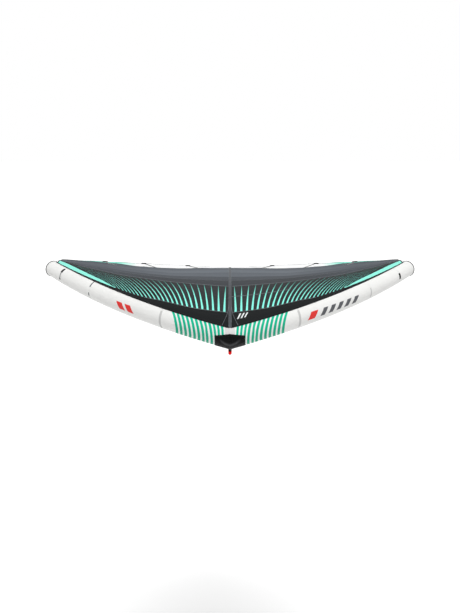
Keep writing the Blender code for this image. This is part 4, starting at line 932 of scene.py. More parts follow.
white = tint(238, 238, 236)
dacron = {"rough": 0.5, "size": 0.12, "tone": 0.015, "rips": 0.03, "gloss": 0.2}
tape = {"grid": 0.03, "rips": 0, "pitch": 0.0006}
strap = {"grid": 0.03, "rips": 0, "bump": 1.0, "size": 0.02}
thread = {"rough": 0.7, "scale": 3000.0, "wear": 0.0}
finish = {
    "dacron": cloth("whiteDacron", white, **dacron),
    "bandedDacron": cloth("bandedDacron", white, paintBands, **dacron),
    "rightDacron": cloth("rightDacron", white, paintBars("right"), **dacron),
    "leftDacron": cloth("leftDacron", white, paintBars("left"), **dacron),
    "front": cloth("frontCloth", tint(31, 33, 34), paintFrontBars, rough=0.65, gloss=0.04),
    "wedge": cloth("aquaCloth", tint(143, 241, 223), paintWedge, tone=0.02, gloss=0.2),
    "main": cloth("stripedCloth", tint(47, 48, 50), paintStripes, rough=0.65, gloss=0.06),
    "rear": cloth("rearCloth", tint(90, 96, 103), paintRear, rough=0.65, gloss=0.06),
    "trailing": cloth("trailingCloth", tint(251, 252, 252), paintTrailing, tone=0.01, rips=0.03,
                      gloss=0.3),
    "spine": cloth("spineCloth", tint(66, 69, 73), paintSpine, grid=0.03, rips=0, gloss=0.08),
    "spinePlain": cloth("plainTape", tint(104, 108, 112), gloss=0.1, **tape),
    "darkTape": cloth("darkTape", tint(20, 22, 24), gloss=0.06, **tape),
    "lightTape": cloth("lightTape", tint(210, 209, 209), sheen=0.1, **tape),
    # Soft grey tape that stands in for painted shade at the tube's seams
    "seamShadeTape": cloth("seamShadeTape", tint(196, 196, 195), tone=0.02, sheen=0.1, **tape),
    "whiteTape": cloth("whiteTape", white, tone=0.02, sheen=0.1, **tape),
    "webbing": cloth("blackWebbing", tint(24, 25, 26), pitch=0.0022, rough=0.7, sheen=0.05,
                     gloss=0.2, **strap),
    "redWebbing": cloth("redWebbing", tint(248, 6, 3), pitch=0.0022, rough=0.65, gloss=0.05,
                        **strap),
    "guard": cloth("guardRubber", tint(6, 6, 7), paintGuardHighlight, pitch=0.0016, grid=0.03, rips=0,
                   rough=0.42, bump=0.8, size=0.05, gloss=0.06),
    "rubber": moulded("blackRubber", tint(26, 27, 28), rough=0.55, grain=0.0001, scale=500.0),
    "padding": cloth("handlePadding", tint(9, 9, 10), pitch=0.0012, rough=0.7, gloss=0.05,
                     **strap),
    "foam": moulded("gripFoam", tint(34, 35, 36), rough=0.8, grain=0.0004, scale=700.0, wear=0.2),
    "plastic": moulded("blackPlastic", tint(36, 37, 39), rough=0.38),
    "greyPlastic": moulded("greyPlastic", tint(124, 127, 130), rough=0.42),
    "redPlastic": moulded("redPlastic", tint(206, 36, 30)),
    "steel": moulded("steel", (0.6, 0.6, 0.61, 1), rough=0.28, metal=1.0, tone=0.03, wear=0.0),
    "rod": moulded("glassFibre", tint(40, 41, 43), rough=0.42, scale=1400.0),
    "hose": clear("clearHose", tint(188, 196, 200), 0.3, 0.6),
    "bladder": clear("clearBladder", tint(220, 226, 230), 0.35, 0.5),
    "darkThread": moulded("darkThread", tint(52, 55, 58), **thread),
    "lightThread": moulded("lightThread", tint(222, 224, 224), **thread),
}
print("materials ready:", len(finish))


# Leading edge tube: cloth panels, seams, bladder and tip caps

tube = {
    "wall": 0.0018, "sides": 96, "edge": 0.0003, "spacing": 0.016, "pinch": 0.0022,
    "pinchWidth": 0.009, "pucker": 0.0007, "puckers": 44, "puckerReach": 0.03, "start": -142,
    "panels": {"inner": (0, 0.307), "middle": (0.307, 0.7), "outer": (0.7, 0.893),
               "tip": (0.893, 1)}, "rim": 0.004,
    "gaps": (0, 0.002, 0.004, 0.0065, 0.01, 0.016), "ease": 1.7,
    "bladderLift": -0.0031, "bladderWall": 0.001, "bladderEnd": 0.994,
}


def tubeRun(share):
    # Length along the tube's centre line
    points = [tubeCentre(part) for part in steps(0, share, 24)]
    return sum((two - one).length for one, two in zip(points, points[1:]))


def seamSteps(low, high):
    # Shares that crowd together at both seams
    near = [distance / wing["shareLength"] for distance in tube["gaps"]]
    count = max(2, round((high - low) * wing["shareLength"] / tube["spacing"]))
    rest = near[-1] * tube["ease"]
    middle = steps(low + rest, high - rest, count)
    return [low + part for part in near] + middle + [high - part for part in reversed(near)]


def drawnIn(sizes, distance, across, angle):
    # How far cloth is drawn in beside a seam, with small gathers where across is -1
    pinch = -sizes["pinch"] * max(0, 1 - distance / sizes["pinchWidth"]) ** 2
    gather = max(0, 1 - distance / sizes["puckerReach"]) ** 2 * (1 - across) / 2
    return pinch + sizes["pucker"] * gather * sin(angle * sizes["puckers"])


def seamLift(share, low, high, angle):
    return drawnIn(tube, min(share - low, high - share) * wing["shareLength"], cos(angle), angle)


def ringShell(name, rows, material, maps=None):
    # Rings of places, each closed on itself; maps gives a pair for each row and column. Without
    # maps both ends are capped
    count = len(rows[0])
    marks = [((row, column), (row, column + 1), (row + 1, column + 1), (row + 1, column))
             for row in range(len(rows) - 1) for column in range(count)]
    if not maps:
        marks += [[(row, column) for column in range(count)] for row in (0, len(rows) - 1)]
    corners = [place for row in rows for place in row]
    faces = [[row * count + column % count for row, column in mark] for mark in marks]
    piece = makePiece(name, corners, faces, material)
    for label, pairOf in (maps or {}).items():
        addMap(piece, label, [pairOf(*spot) for mark in marks for spot in mark])
    faceOut(piece)
    middle = sum(corners, Vector()) / len(corners)
    if sum((face.center - middle).dot(face.normal) * face.area
           for face in piece.data.polygons) < 0:
        piece.data.flip_normals()
    return piece


def tubeMaps(shares, side):
    runs = [tubeRun(share) for share in shares]
    sides = tube["sides"]
    return {"cloth": lambda row, column: (runs[row],
                                          tubeRadius(shares[row]) * 2 * pi * column / sides),
            "panel": lambda row, column: (side * shares[row] * wing["reach"],
                                          (tube["start"] + 360 * column / sides) / 360)}


def sleevePanel(panel, side, sideName, material):
    low, high = tube["panels"][panel]
    edge = tube["edge"] / 2 / wing["reach"]
    shares = seamSteps(low + edge, high - edge)
    angles = [radians(tube["start"] + 360 * number / tube["sides"])
              for number in range(tube["sides"])]
    rows = [[onTube(share * side, angle, seamLift(share, low, high, angle)) for angle in angles]
            for share in shares]
    return thicken(ringShell(f"tubePanel_{panel}_{sideName}", rows, material,
                             tubeMaps(shares, side)), tube["wall"])


def cutAway(piece, cutter):
    change(piece, "BOOLEAN", object=cutter, operation="DIFFERENCE", solver="EXACT")
    bpy.data.objects.remove(cutter)
    return piece


valve = {
    "share": 0.144, "degrees": -120, "flange": 0.03, "collar": 0.018,
    "collarTop": 0.008, "neck": 0.014, "neckDepth": 0.02, "bore": 0.009, "hingeReach": 0.025,
    "hingeRadius": 0.0022, "hingeLength": 0.01, "earWidth": 0.003, "cap": 0.0035,
    "plug": 0.0078, "plugDepth": 0.003, "tongue": 0.008, "flap": 0.0115, "flapDepth": 0.0015,
    "play": 0.0003, "top": 0.0029, "ribs": 28, "ribDepth": 0.012, "cut": (-0.03, 0.01),
}


def tubeFrame(share, degrees):
    # X along the tube, Y round it, Z straight out; a negative share is on the left
    angle = radians(degrees)
    out = onSide(share, tubeOutward(abs(share), angle))
    along = onSide(share, tubeHeading(abs(share)))
    return frameOf(onTube(share, angle), along, out.cross(along))


valvePlace = tubeFrame(valve["share"], valve["degrees"])


def valveCutter():
    return cylinder("valveCutter", valvePlace, valve["neck"] + valve["play"], *valve["cut"])


sleeveFinish = {("inner", 1): "bandedDacron", ("inner", -1): "bandedDacron",
                ("middle", 1): "rightDacron", ("middle", -1): "leftDacron"}
for side, sideName in bothSides:
    for panel in tube["panels"]:
        piece = sleevePanel(panel, side, sideName, sleeveFinish.get((panel, side), "dacron"))
        if panel == "inner" and side > 0:
            cutAway(piece, valveCutter())
        dress(piece, "white_dacron", f"le_sleeve_{panel}_{sideName}")


def bothWays(shares):
    # From the left tip to the right one, for shares that start at 0
    return [-share for share in shares[:0:-1]] + shares


def bladderShell(name, placeOn, shares):
    # A shell inside a tube; two smaller rings draw in each end
    rows = [[placeOn(share, angle, tube["bladderLift"]) for angle in turns(48)]
            for share in shares]
    ends = []
    for row in (rows[0], rows[-1]):
        middle = sum(row, Vector()) / len(row)
        ends.append([[middle.lerp(place, part) for place in row] for part in (0.7, 0.3)])
    rows = ends[0][::-1] + rows + ends[1]
    return thicken(ringShell(name, rows, "bladder"), tube["bladderWall"])


bladder = bladderShell("tubeBladder", onTube, bothWays(steps(0, tube["bladderEnd"], 46)))
dress(cutAway(bladder, valveCutter()), "clear_bladder", "le_bladder")

endCap = {"gap": 0.0003, "bulge": 0.012, "seam": 0.9985, "lift": 0.0004, "sides": 72,
          "profile": ((1, 0), (1.004, 0.12), (0.995, 0.3), (0.95, 0.52), (0.84, 0.74),
                      (0.6, 0.9), (0.3, 0.98), (0.02, 1))}


def makeEndCap(name, node, middle, heading, bulge, ring):
    # A low dome over the end ring of a tube
    rows = [[middle + heading * (endCap["gap"] + bulge * height) + (place - middle) * size
             for place in ring] for size, height in endCap["profile"]]
    dress(ringShell(name, rows, "rubber"), "black_rubber", node)


def makeTipCap(side, sideName):
    makeEndCap(f"tipCap_{sideName}", f"tip_cap_{sideName}", tubeCentreAt(1, side),
               onSide(side, tubeHeading(1)), endCap["bulge"],
               [onTube(side, angle) for angle in turns(endCap["sides"])])
    # Dark piping round the tube's end, where the cap is sewn in
    ring = [onTube(endCap["seam"] * side, angle, endCap["lift"])
            for angle in steps(0, 2 * pi, endCap["sides"])]
    dress(roundTube(f"tipPiping_{sideName}", ring, tube["rim"], "darkTape"), "black_cloth")


for side, sideName in bothSides:
    makeTipCap(side, sideName)
print("leading edge tube made")


# Canopy: one sheet from tip to tip, its seam tapes, hems and spine

canopy = {
    "depth": 0.0015, "columns": 78, "wrapRows": 5, "frontRows": 3, "bandRows": 3, "mainRows": 12,
    "rearRows": 18, "trailRows": 4, "bandLeast": 0.005, "flat": (3.08, 2.1), "area": 4.27,
    "gather": 0.0009, "gathers": 150, "gatherEnd": 0.3125, "gatherRise": 9, "flutter": 0.0015,
    "flutters": 26, "lag": 1.3, "firm": 0.05, "loose": 0.1,
}


def canopyLift(share, chord):
    # Small gathers behind the tube and a slow flutter towards the trailing edge
    if chord <= 0:
        return 0
    across = abs(share) * wing["reach"]
    clearOf = min(1, max(0, (across - canopy["firm"]) / canopy["loose"]))
    front = chord * canopy["gatherRise"] * max(0, 1 - chord / canopy["gatherEnd"])
    gather = canopy["gather"] * min(1, front) * sin(across * canopy["gathers"])
    turn = across * canopy["flutters"] + canopy["lag"] * chord
    flutter = canopy["flutter"] * chord ** 3 * sin(turn)
    return (gather + flutter) * clearOf


def onCloth(share, chord, lift=0.0):
    return onCanopy(share, chord, lift + canopyLift(share, chord))


def canopyLines(share):
    share = abs(share)
    front = between(wing["frontSeam"], share)
    least = max(0, front) + canopy["bandLeast"] / chordLength(share)
    wedge = max(least, between(wing["wedgeSeam"], share))
    main = between(wing["mainSeam"], share)
    trail = between(wing["trailSeam"], share)
    middle = min(0, front / 2)
    lines = steps(-1, middle, canopy["wrapRows"])
    for low, high, count in ((middle, front, canopy["frontRows"]),
                             (front, wedge, canopy["bandRows"]),
                             (wedge, main, canopy["mainRows"]), (main, trail, canopy["rearRows"]),
                             (trail, 1, canopy["trailRows"])):
        lines += steps(low, high, count)[1:]
    return lines, front, main, trail


def panelRun(chord, front, main, trail):
    # -2 to -1 on the tube, then 0, 1 and 2 at the front, main and trailing seams
    if chord <= 0:
        return chord - 1
    if chord <= front:
        return chord / front - 1
    front = max(0, front)
    if chord <= main:
        return (chord - front) / (main - front)
    if chord <= trail:
        return 1 + (chord - main) / (trail - main)
    return 2 + (chord - trail) / (1 - trail)


def makeCanopy():
    shares = bothWays(steps(0, wing["canopyEnd"], canopy["columns"]))
    columns = []
    for share in shares:
        lines, *seamsHere = canopyLines(share)
        length = chordLength(abs(share))
        wrap = tubeRadius(abs(share)) * (leaveAngle(abs(share)) - attachAngle(abs(share)))
        side = -1 if share < 0 else 1
        column = []
        for chord in lines:
            place = onCloth(share, chord)
            column.append((place, (place.x, chord * (length if chord > 0 else wrap)),
                           (side * abs(place.x), panelRun(chord, *seamsHere))))
        columns.append(column)
    count = len(shares)
    cells = [cell for row in zip(*columns) for cell in row]
    piece = makePiece("canopy", [cell[0] for cell in cells],
                      gridFaces(len(cells) // count, count), "front", "wedge", "main", "rear",
                      "trailing")
    for number, label in ((1, "cloth"), (2, "panel")):
        addMap(piece, label, [cells[loop.vertex_index][number] for loop in piece.data.loops])
    limits = [canopy["wrapRows"] + canopy["frontRows"]]
    for key in ("bandRows", "mainRows", "rearRows", "trailRows"):
        limits.append(limits[-1] + canopy[key])
    for number, face in enumerate(piece.data.polygons):
        row = number // (count - 1)
        face.material_index = next(slot for slot, limit in enumerate(limits) if row < limit)
    if sum(face.normal.z for face in piece.data.polygons) < 0:
        piece.data.flip_normals()
    thicken(piece, canopy["depth"])
    nodes = [f"canopy_{part}_{side}" for part in ("front", "main", "rear", "trailing", "tip")
             for side in ("left", "right")]
    return dress(piece, "charcoal_cloth", *nodes)


canopySheet = makeCanopy()
fiveWays = (-1, -0.5, 0, 0.5, 1)

seams = {"wedgeGap": 0.004, "tone": 0.13, "depth": 0.0005, "lift": 0.0002, "columns": 70,
         "rowSpace": 0.003, "pitch": 0.0052, "stitch": 0.0036, "thread": 0.0004,
         "over": 0.0001}  # how far stitches stand off what they are sewn through


def trim(piece, slot, *nodes):
    dress(piece, slot, *nodes)


def stripOn(name, chordOf, low, high, side, width, material, slot, count=seams["columns"]):
    # A tape along the canopy from one share to another, centred on a chord line
    rows = []
    pairs = []
    run = 0
    for share in steps(low, high, count):
        half = width / 2 / chordLength(share)
        rows.append([onCloth(share * side, chordOf(share) + half * part,
                             seams["lift"] + seams["depth"]) for part in fiveWays])
        if pairs:
            run += (rows[-1][2] - rows[-2][2]).length
        pairs.append([(run, width * part / 4) for part in range(5)])
    trim(gridOver(name, rows, pairs, material, seams["depth"]), slot)


def gridOver(name, rows, pairs, material, depth, up=(0, 0, 1)):
    # A patch through rows of places, facing the given way, with its thickness beneath
    piece = makePiece(name, [place for row in rows for place in row],
                      gridFaces(len(rows), len(rows[0])), material)
    flat = [pair for row in pairs for pair in row]
    addMap(piece, "cloth", [flat[loop.vertex_index] for loop in piece.data.loops])
    if sum(face.normal.dot(Vector(up)) * face.area for face in piece.data.polygons) < 0:
        piece.data.flip_normals()
    return thicken(piece, depth)


def seamOf(key):
    return lambda share: between(wing[key], share)


def toneSeam(share):
    return mix(between(wing["mainSeam"], share), between(wing["trailSeam"], share), seams["tone"])


def wedgeEdge(share):
    front = max(0, between(wing["frontSeam"], share))
    return max(between(wing["wedgeSeam"], share), front + seams["wedgeGap"])


stitchLines = {"dark": [], "light": []}
last = wing["canopyEnd"]
for side, sideName in bothSides:
    for name, chordOf, low, high, width, material, slot in (
            ("frontSeam", seamOf("frontSeam"), 0.01, 0.42, 0.006, "spinePlain", "grey_cloth"),
            ("wedgeSeam", wedgeEdge, 0.595, last, 0.009, "darkTape", "black_cloth"),
            ("mainSeam", seamOf("mainSeam"), 0.01, last, 0.012, "spinePlain", "grey_cloth"),
            ("toneSeam", toneSeam, 0.01, 0.9, 0.008, "spinePlain", "grey_cloth"),
            ("trailSeam", seamOf("trailSeam"), 0.01, last, 0.008, "darkTape", "black_cloth")):
        stripOn(f"{name}_{sideName}", chordOf, low, high, side, width, material, slot)
        for offset in (-seams["rowSpace"], seams["rowSpace"]):
            stitchLines["dark"].append([
                onCloth(share * side, chordOf(share) + offset / chordLength(share),
                        seams["lift"] + seams["depth"]) for share in steps(low, high, 90)])

# A panel seam that only the right half has
panelSeam = ((0, 0.17), (0.12, 0.158), (0.24, 0.155))
stripOn("panelSeam", lambda share: between(panelSeam, share), 0.008, 0.3, 1, 0.007, "spinePlain",
        "grey_cloth", 24)

hem = {"width": 0.011, "over": 0.0006, "under": 0.0023, "past": 0.0008, "stitchIn": 0.008}


def hemSection():
    # Wraps the cloth's edge: x runs in from the edge, y is up from the cloth's top
    return [(-hem["past"], -hem["under"] / 2), (-hem["past"] * 0.6, hem["over"] * 0.7),
            (0.001, hem["over"]), (hem["width"], hem["over"]), (hem["width"], -hem["under"]),
            (0.001, -hem["under"]), (-hem["past"] * 0.6, -hem["under"] * 0.9)]


def makeHems():
    shares = steps(-last, last, 150)
    line = [onCloth(share, 1) for share in shares]
    ups = [upOnCanopy(share, 1) for share in shares]
    trim(sweep("trailingHem", line, ups, hemSection(), "darkTape"), "black_cloth")
    stitchLines["light"].append([place + up * hem["over"] - Vector((0, hem["stitchIn"], 0))
                                 for place, up in zip(line, ups)])
    for side, sideName in bothSides:
        chords = steps(-1, 0, 8) + steps(0, 0.992, 50)[1:]
        line = [onCloth(last * side, chord) for chord in chords]
        ups = [upOnCanopy(last * side, chord) for chord in chords]
        trim(sweep(f"tipHem_{sideName}", line, ups, [(-side * x, y) for x, y in hemSection()],
                   "darkTape"), "black_cloth")


makeHems()

piping = {"radius": 0.0026, "sunk": 0.8, "from": 0.004, "stitchOff": 0.006, "stitchLift": 0.0021}


def makePiping(side, sideName):
    # Round piping where the canopy's front edge is sewn to the tube, and stitches beside it
    radius = piping["radius"]
    line = [onTube(share * side, attachAngle(share) - radius / tubeRadius(share),
                   radius * piping["sunk"])
            for share in steps(piping["from"], last, 110)]
    trim(roundTube(f"canopyPiping_{sideName}", line, radius, "darkTape"), "black_cloth")
    stitchLines["dark"].append([
        onTube(share * side, attachAngle(share) + piping["stitchOff"] / tubeRadius(share),
               piping["stitchLift"]) for share in steps(piping["from"], last, 90)])


for side, sideName in bothSides:
    makePiping(side, sideName)

spine = {"half": 0.0098, "spare": 0.001, "flare": 0.06, "depth": 0.0011, "flareEnd": 0.14,
         "flareBend": 3.0, "onTube": 0.056, "flareLift": 0.001, "tapeLift": 0.002, "cord": 0.0016,
         "cordIn": 0.002, "cordLift": 0.0016, "stitches": (0.0028, 0.0084), "stitchLift": 0.0022,
         "noPrint": 9.0}  # a place across the wing that no print reaches


def aboveRoot(x, chord, lift):
    # Over the cloth at a distance x from the centre plane
    inner = onCloth(0, chord, lift)
    inner.x = 0
    outer = onCloth(wing["nearStrut"], chord, lift)
    place = inner.lerp(Vector((abs(outer.x), outer.y, outer.z)), abs(x) / abs(outer.x))
    place.x = x
    return place


def flareHalf(chord):
    # Widens with the length run from the flare's end to the tube and round it
    reach = spine["flareEnd"] * chordLength(0)
    down = reach - chord * (spine["onTube"] if chord < 0 else chordLength(0))
    part = min(1, max(0, down / (reach + spine["onTube"])))
    wide = (spine["flare"] - spine["half"]) * part ** spine["flareBend"]
    return spine["half"] + spine["spare"] + wide


def makeSpine():
    chords = steps(-1, 0, 10) + steps(0, 0.3, 20)[1:] + steps(0.3, 0.996, 60)[1:]
    flare = [chord for chord in chords if chord <= spine["flareEnd"]]
    parts = steps(-1, 1, 8)
    for name, lines, halfOf, lift, material in (
            ("spineFlare", flare, flareHalf, spine["flareLift"], "front"),
            ("spineTape", chords, lambda chord: spine["half"], spine["tapeLift"], "spine")):
        rows = [[aboveRoot(halfOf(chord) * part, chord, lift) for part in parts]
                for chord in lines]
        run = [0.0]
        for one, two in zip(rows, rows[1:]):
            run.append(run[-1] + (two[4] - one[4]).length)
        pairs = [[(halfOf(chord) * part, along) for part in parts]
                 for chord, along in zip(lines, run)]
        piece = gridOver(name, rows, pairs, material, spine["depth"] / 2)
        across = [spot.uv[0] for spot in piece.data.uv_layers["cloth"].data]
        addMap(piece, "panel", [(spine["noPrint"], x / spine["half"]) for x in across])
        trim(piece, "grey_tape", "spine_tape")
    for side, sideName in bothSides:
        edge = [aboveRoot(side * (flareHalf(chord) - spine["cordIn"]), chord, spine["cordLift"])
                for chord in flare]
        trim(roundTube(f"spineCord_{sideName}", edge, spine["cord"], "spinePlain", 8),
             "grey_tape")
        for offset in spine["stitches"]:
            stitchLines["dark"].append([aboveRoot(side * offset, chord, spine["stitchLift"])
                                        for chord in chords])


makeSpine()

batten = {"x": (0.275, 0.675, 1.01), "names": ("inner", "middle", "outer"), "length": 0.24,
          "width": 0.012, "height": 0.0026, "splay": 0.12, "endGap": 0.012, "pocket": 0.022,
          "tab": 0.045, "tabHalf": 0.02, "tabHigh": 0.0055, "lift": 0.0008,
          "cloth": 0.0005, "stitchShare": 0.82, "tabUnder": 0.0012, "edge": 0.0008}


def solve(low, high, isBelow, rounds=24):
    # Halves a range until it meets the place where isBelow ends
    for _ in range(rounds):
        middle = (low + high) / 2
        if isBelow(middle):
            low = middle
        else:
            high = middle
    return low


def shareAt(x, chord):
    return solve(0, wing["canopyEnd"], lambda share: canopyTop(share, chord).x < x)


def makeBatten(x, name, side, sideName):
    length = chordLength(shareAt(x, 1))
    end = 1 - batten["endGap"] / length
    start = end - batten["length"] / length

    def acrossCloth(middle, half, chord, lift):
        return [onCloth(shareAt(middle + half * part, chord) * side, chord, lift)
                for part in fiveWays]
    rows = []
    line = []
    ups = []
    for part in steps(0, 1, 12):
        chord = mix(start, end, part)
        middle = x + batten["splay"] * part
        rows.append(acrossCloth(middle, batten["pocket"] / 2, chord, batten["lift"]))
        share = shareAt(middle, chord) * side
        line.append(onCloth(share, chord, batten["lift"] + seams["over"]))
        ups.append(upOnCanopy(share, chord))
    pairs = [[(batten["length"] * number / 12, batten["pocket"] * part / 4) for part in range(5)]
             for number in range(13)]
    trim(gridOver(f"battenPocket_{name}_{sideName}", rows, pairs, "whiteTape",
                  batten["cloth"]), "white_cloth")
    rod = sweep(f"battenRod_{name}_{sideName}", line, ups,
                tapeSection(batten["width"], batten["height"]), "rod")
    dress(roundEdges(rod, 0.0006), "glass_fibre", f"batten_{name}_{sideName}")
    for column in (0, 4):
        stitchLines["dark"].append([
            row[2].lerp(row[column], batten["stitchShare"]) + up * seams["over"]
            for row, up in zip(rows, ups)])
    rows = [acrossCloth(x + batten["splay"], batten["tabHalf"],
                        end + (1 - end) * 0.9 - batten["tab"] / length * (1 - part),
                        batten["tabHigh"]) for part in steps(0, 1, 3)]
    tab = gridOver(f"battenTab_{name}_{sideName}", rows, pairs[:4], "darkTape",
                   batten["tabHigh"] - batten["tabUnder"])
    trim(roundEdges(tab, batten["edge"]), "black_cloth")


for side, sideName in bothSides:
    for x, name in zip(batten["x"], batten["names"]):
        makeBatten(x, name, side, sideName)
print("canopy made")


# Seams round the tube

tubeSeam = {
    # Side, share, where each tape starts and ends in degrees, its width and its finish; the soft
    # grey tapes on the front of the tube are painted shade at the seams
    "marks": ((1, 0.893, 31, -8, 0.026, "darkTape"), (1, 0.7, 24, -30, 0.012, "seamShadeTape"),
              (1, 0.307, 36, -40, 0.018, "seamShadeTape"), (-1, 0.893, 72, 38, 0.026, "darkTape"),
              (-1, 0.893, 38, 0, 0.009, "spinePlain"), (-1, 0.893, 0, -12, 0.018, "darkTape"),
              (-1, 0.7, 70, 30, 0.011, "spinePlain"), (-1, 0.7, -2, -20, 0.012, "spinePlain"),
              (-1, 0.307, 34, -62, 0.018, "seamShadeTape")),
    "space": 0.006, "depth": 0.0006, "reach": 0.01, "clear": 0.02, "stitchLift": 0.0002,
}


def bandOnTube(name, side, share, high, low, width, material):
    # A narrow tape round part of the tube
    reach = tubeSeam["reach"]
    half = width / (tubeRun(min(1, share + reach)) - tubeRun(share - reach)) * reach
    rows = []
    pairs = []
    for angle in steps(radians(high), radians(low), 30):
        rows.append([onTube((share + half * part) * side, angle,
                            tubeSeam["depth"] + seams["over"])
                     for part in (-1, 0, 1)])
        run = (radians(high) - angle) * tubeRadius(share)
        pairs.append([(run, width * part / 2) for part in range(3)])
    piece = gridOver(name, rows, pairs, material, tubeSeam["depth"],
                     rows[0][1] - tubeCentreAt(share, side))
    dress(piece, "grey_tape")


for number, mark in enumerate(tubeSeam["marks"]):
    bandOnTube(f"tubeSeamTape_{number}", *mark)
for side in (1, -1):
    for share in (high for low, high in tube["panels"].values() if high < 1):
        angles = steps(leaveAngle(share) + tubeSeam["clear"],
                       attachAngle(share) + 2 * pi - tubeSeam["clear"], 90)
        for offset in (-1, 1):
            there = share + offset * tubeSeam["space"] / wing["shareLength"]
            stitchLines["light"].append([
                onTube(there * side, angle, tubeSeam["stitchLift"]) for angle in angles])

for key in stitchLines:
    dress(threadsOn(f"{key}Stitches", stitchLines[key], f"{key}Thread", 3, seams["pitch"],
                    seams["stitch"], seams["thread"]), "grey_tape")
print("seams and stitches made")


# Nose guard and seam patch

nose = {"guardHalf": 0.112, "guardTop": (16.0, -3), "guardBottom": -84, "guardLift": 0.0021,
        "guardDepth": 0.0015, "patchHalf": 0.035, "patchLift": 0.0016, "patchDepth": 0.001,
        "space": 0.002, "stitchLift": 0.0002}


def tubePointAt(x, angle, lift):
    # On the tube at a distance x from the centre plane
    share = solve(0, 0.25, lambda share: tubePoint(share, angle, lift).x < abs(x), 26)
    place = tubePoint(share, angle, lift)
    place.x = x
    return place + nosePlace


def nosePatch(name, half, lowOf, highOf, lift, depth, material, slot, node, columns=24, lines=20):
    rows = []
    pairs = []
    for x in steps(-half, half, columns):
        ends = lowOf(abs(x) / half), highOf(abs(x) / half)
        angles = [radians(mix(*ends, part)) for part in steps(0, 1, lines)]
        rows.append([tubePointAt(x, angle, lift) for angle in angles])
        pairs.append([(x, wing["noseRadius"] * angle) for angle in angles])
    piece = gridOver(name, rows, pairs, material, depth, (0, -1, -0.3))
    dress(roundEdges(piece, depth * 0.4), slot, node)
    return rows


def guardTop(part):
    return mix(*nose["guardTop"], part)


guardRows = nosePatch("noseGuard", nose["guardHalf"], lambda part: nose["guardBottom"], guardTop,
                      nose["guardLift"], nose["guardDepth"], "guard", "black_rubber",
                      "nose_guard")
patchSpace = nose["space"] / wing["noseRadius"] * 180 / pi
patchTop = wing["attach"][0] - patchSpace
nosePatch("noseSeamPatch", nose["patchHalf"],
          lambda part: guardTop(part * nose["patchHalf"] / nose["guardHalf"]) + patchSpace,
          lambda part: patchTop, nose["patchLift"], nose["patchDepth"], "lightTape",
          "light_grey_patch", "nose_seam_patch", 12, 10)


guardLines = [[row[number] for row in guardRows[1:-1]] for number in (1, -2)]
guardLines += [guardRows[number][1:-1] for number in (1, -2)]
guardLines = [[place + (place - Vector((place.x, *nosePlace.yz))).normalized()
               * nose["stitchLift"] for place in line] for line in guardLines]
dress(threadsOn("guardStitches", guardLines, "darkThread", 5, 0.005, 0.0035, 0.0004),
      "black_rubber")
print("nose made")


# Solids from outlines, used by the strut's fittings

def boxMap(piece, place):
    # A cloth map in metres, square to each face's main direction
    local = place.inverted()
    turn = local.to_3x3()
    pairs = []
    for face in piece.data.polygons:
        normal = turn @ face.normal
        main = max(range(3), key=lambda axis: abs(normal[axis]))
        for corner in face.vertices:
            spot = local @ piece.data.vertices[corner].co
            pairs.append([spot[axis] for axis in range(3) if axis != main])
    addMap(piece, "cloth", pairs)


def prism(name, place, outline, levels, material, edge=0.0, axis=0, smooth=35):
    # An outline carried along one of the place's axes; a level is a height or (height, scale)
    rows = []
    for level in levels:
        height, scale = level if isinstance(level, tuple) else (level, 1)
        row = []
        for one, two in outline:
            spot = [one * scale, two * scale]
            spot.insert(axis, height)
            row.append(place @ Vector(spot))
        rows.append(row)
    piece = ringShell(name, rows, material)
    if edge:
        roundEdges(piece, edge, smooth)
    boxMap(piece, place)
    return soften(piece, smooth)


def roundedOutline(width, length, radius, count=6):
    # A rectangle of the given half sizes with round corners
    outline = []
    for number, (x, y) in enumerate(((1, 1), (-1, 1), (-1, -1), (1, -1))):
        for turn in steps(number * pi / 2, (number + 1) * pi / 2, count):
            outline.append((x * (width - radius) + radius * cos(turn),
                            y * (length - radius) + radius * sin(turn)))
    return outline


def strapSection(width, depth):
    half, thick = width / 2, depth / 2
    return [(-half, -thick * 0.5), (-half * 0.96, -thick), (half * 0.96, -thick),
            (half, -thick * 0.5), (half, thick * 0.5), (half * 0.96, thick),
            (-half * 0.96, thick), (-half, thick * 0.5)]


def threadOn(name, lines, slot, key, seed, pitch=0.0042, length=0.003, body="wing"):
    dress(threadsOn(name, lines, f"{key}Thread", seed, pitch, length, 0.00035), slot, body=body)


# Centre strut: two cloth tubes, the bladder, the end cap and what joins it to the wing

strut = {
    "wall": 0.0018, "sides": 72, "seam": 0.4657, "edge": 0.0003, "spacing": 0.02,
    "pinch": 0.0026, "pinchWidth": 0.014, "pucker": 0.0008, "puckers": 32, "puckerReach": 0.04,
    "bladder": (0.1075, 0.96), "capBulge": 0.014, "capSides": 64, "gaps": tube["gaps"] + (0.024,),
    "clear": 0.0004, "flangeAngles": (56, 64, 71), "flangeReach": (0.56, 0.68), "flange": 0.0006,
    "piping": 0.0024, "pipingLift": 0.0006, "rootTape": 0.016, "rootLift": 0.0008,
    "rootStitches": (0.35, 0.75), "seamStitches": (-0.006, 0.006), "flangeLift": 0.0007,
    "flangeWidth": 0.012,
}


def strutLift(chord, low, high, angle):
    # The front end runs into the tube, so it isn't drawn in
    distance = min([high - chord] + ([chord - low] if low > 0.1 else []))
    return drawnIn(strut, distance * wing["rootLength"], sin(angle), angle)


def strutSleeve(name, low, high, node):
    near = [gap / wing["rootLength"] for gap in strut["gaps"]]
    front = [low + part for part in near] if low > 0.1 else [low]
    rear = [high - part for part in reversed(near)]
    count = round((high - low) * wing["rootLength"] / strut["spacing"])
    chords = front + steps(front[-1], rear[0], count)[1:-1] + rear
    rows = [[strutPoint(chord, angle, strutLift(chord, low, high, angle))
             for angle in turns(strut["sides"])] for chord in chords]

    def clothPair(row, column):
        return (chords[row] * wing["rootLength"],
                strutRadius(chords[row]) * 2 * pi * column / strut["sides"])
    piece = thicken(ringShell(name, rows, "dacron", {"cloth": clothPair}), strut["wall"])
    return dress(piece, "white_dacron", node)


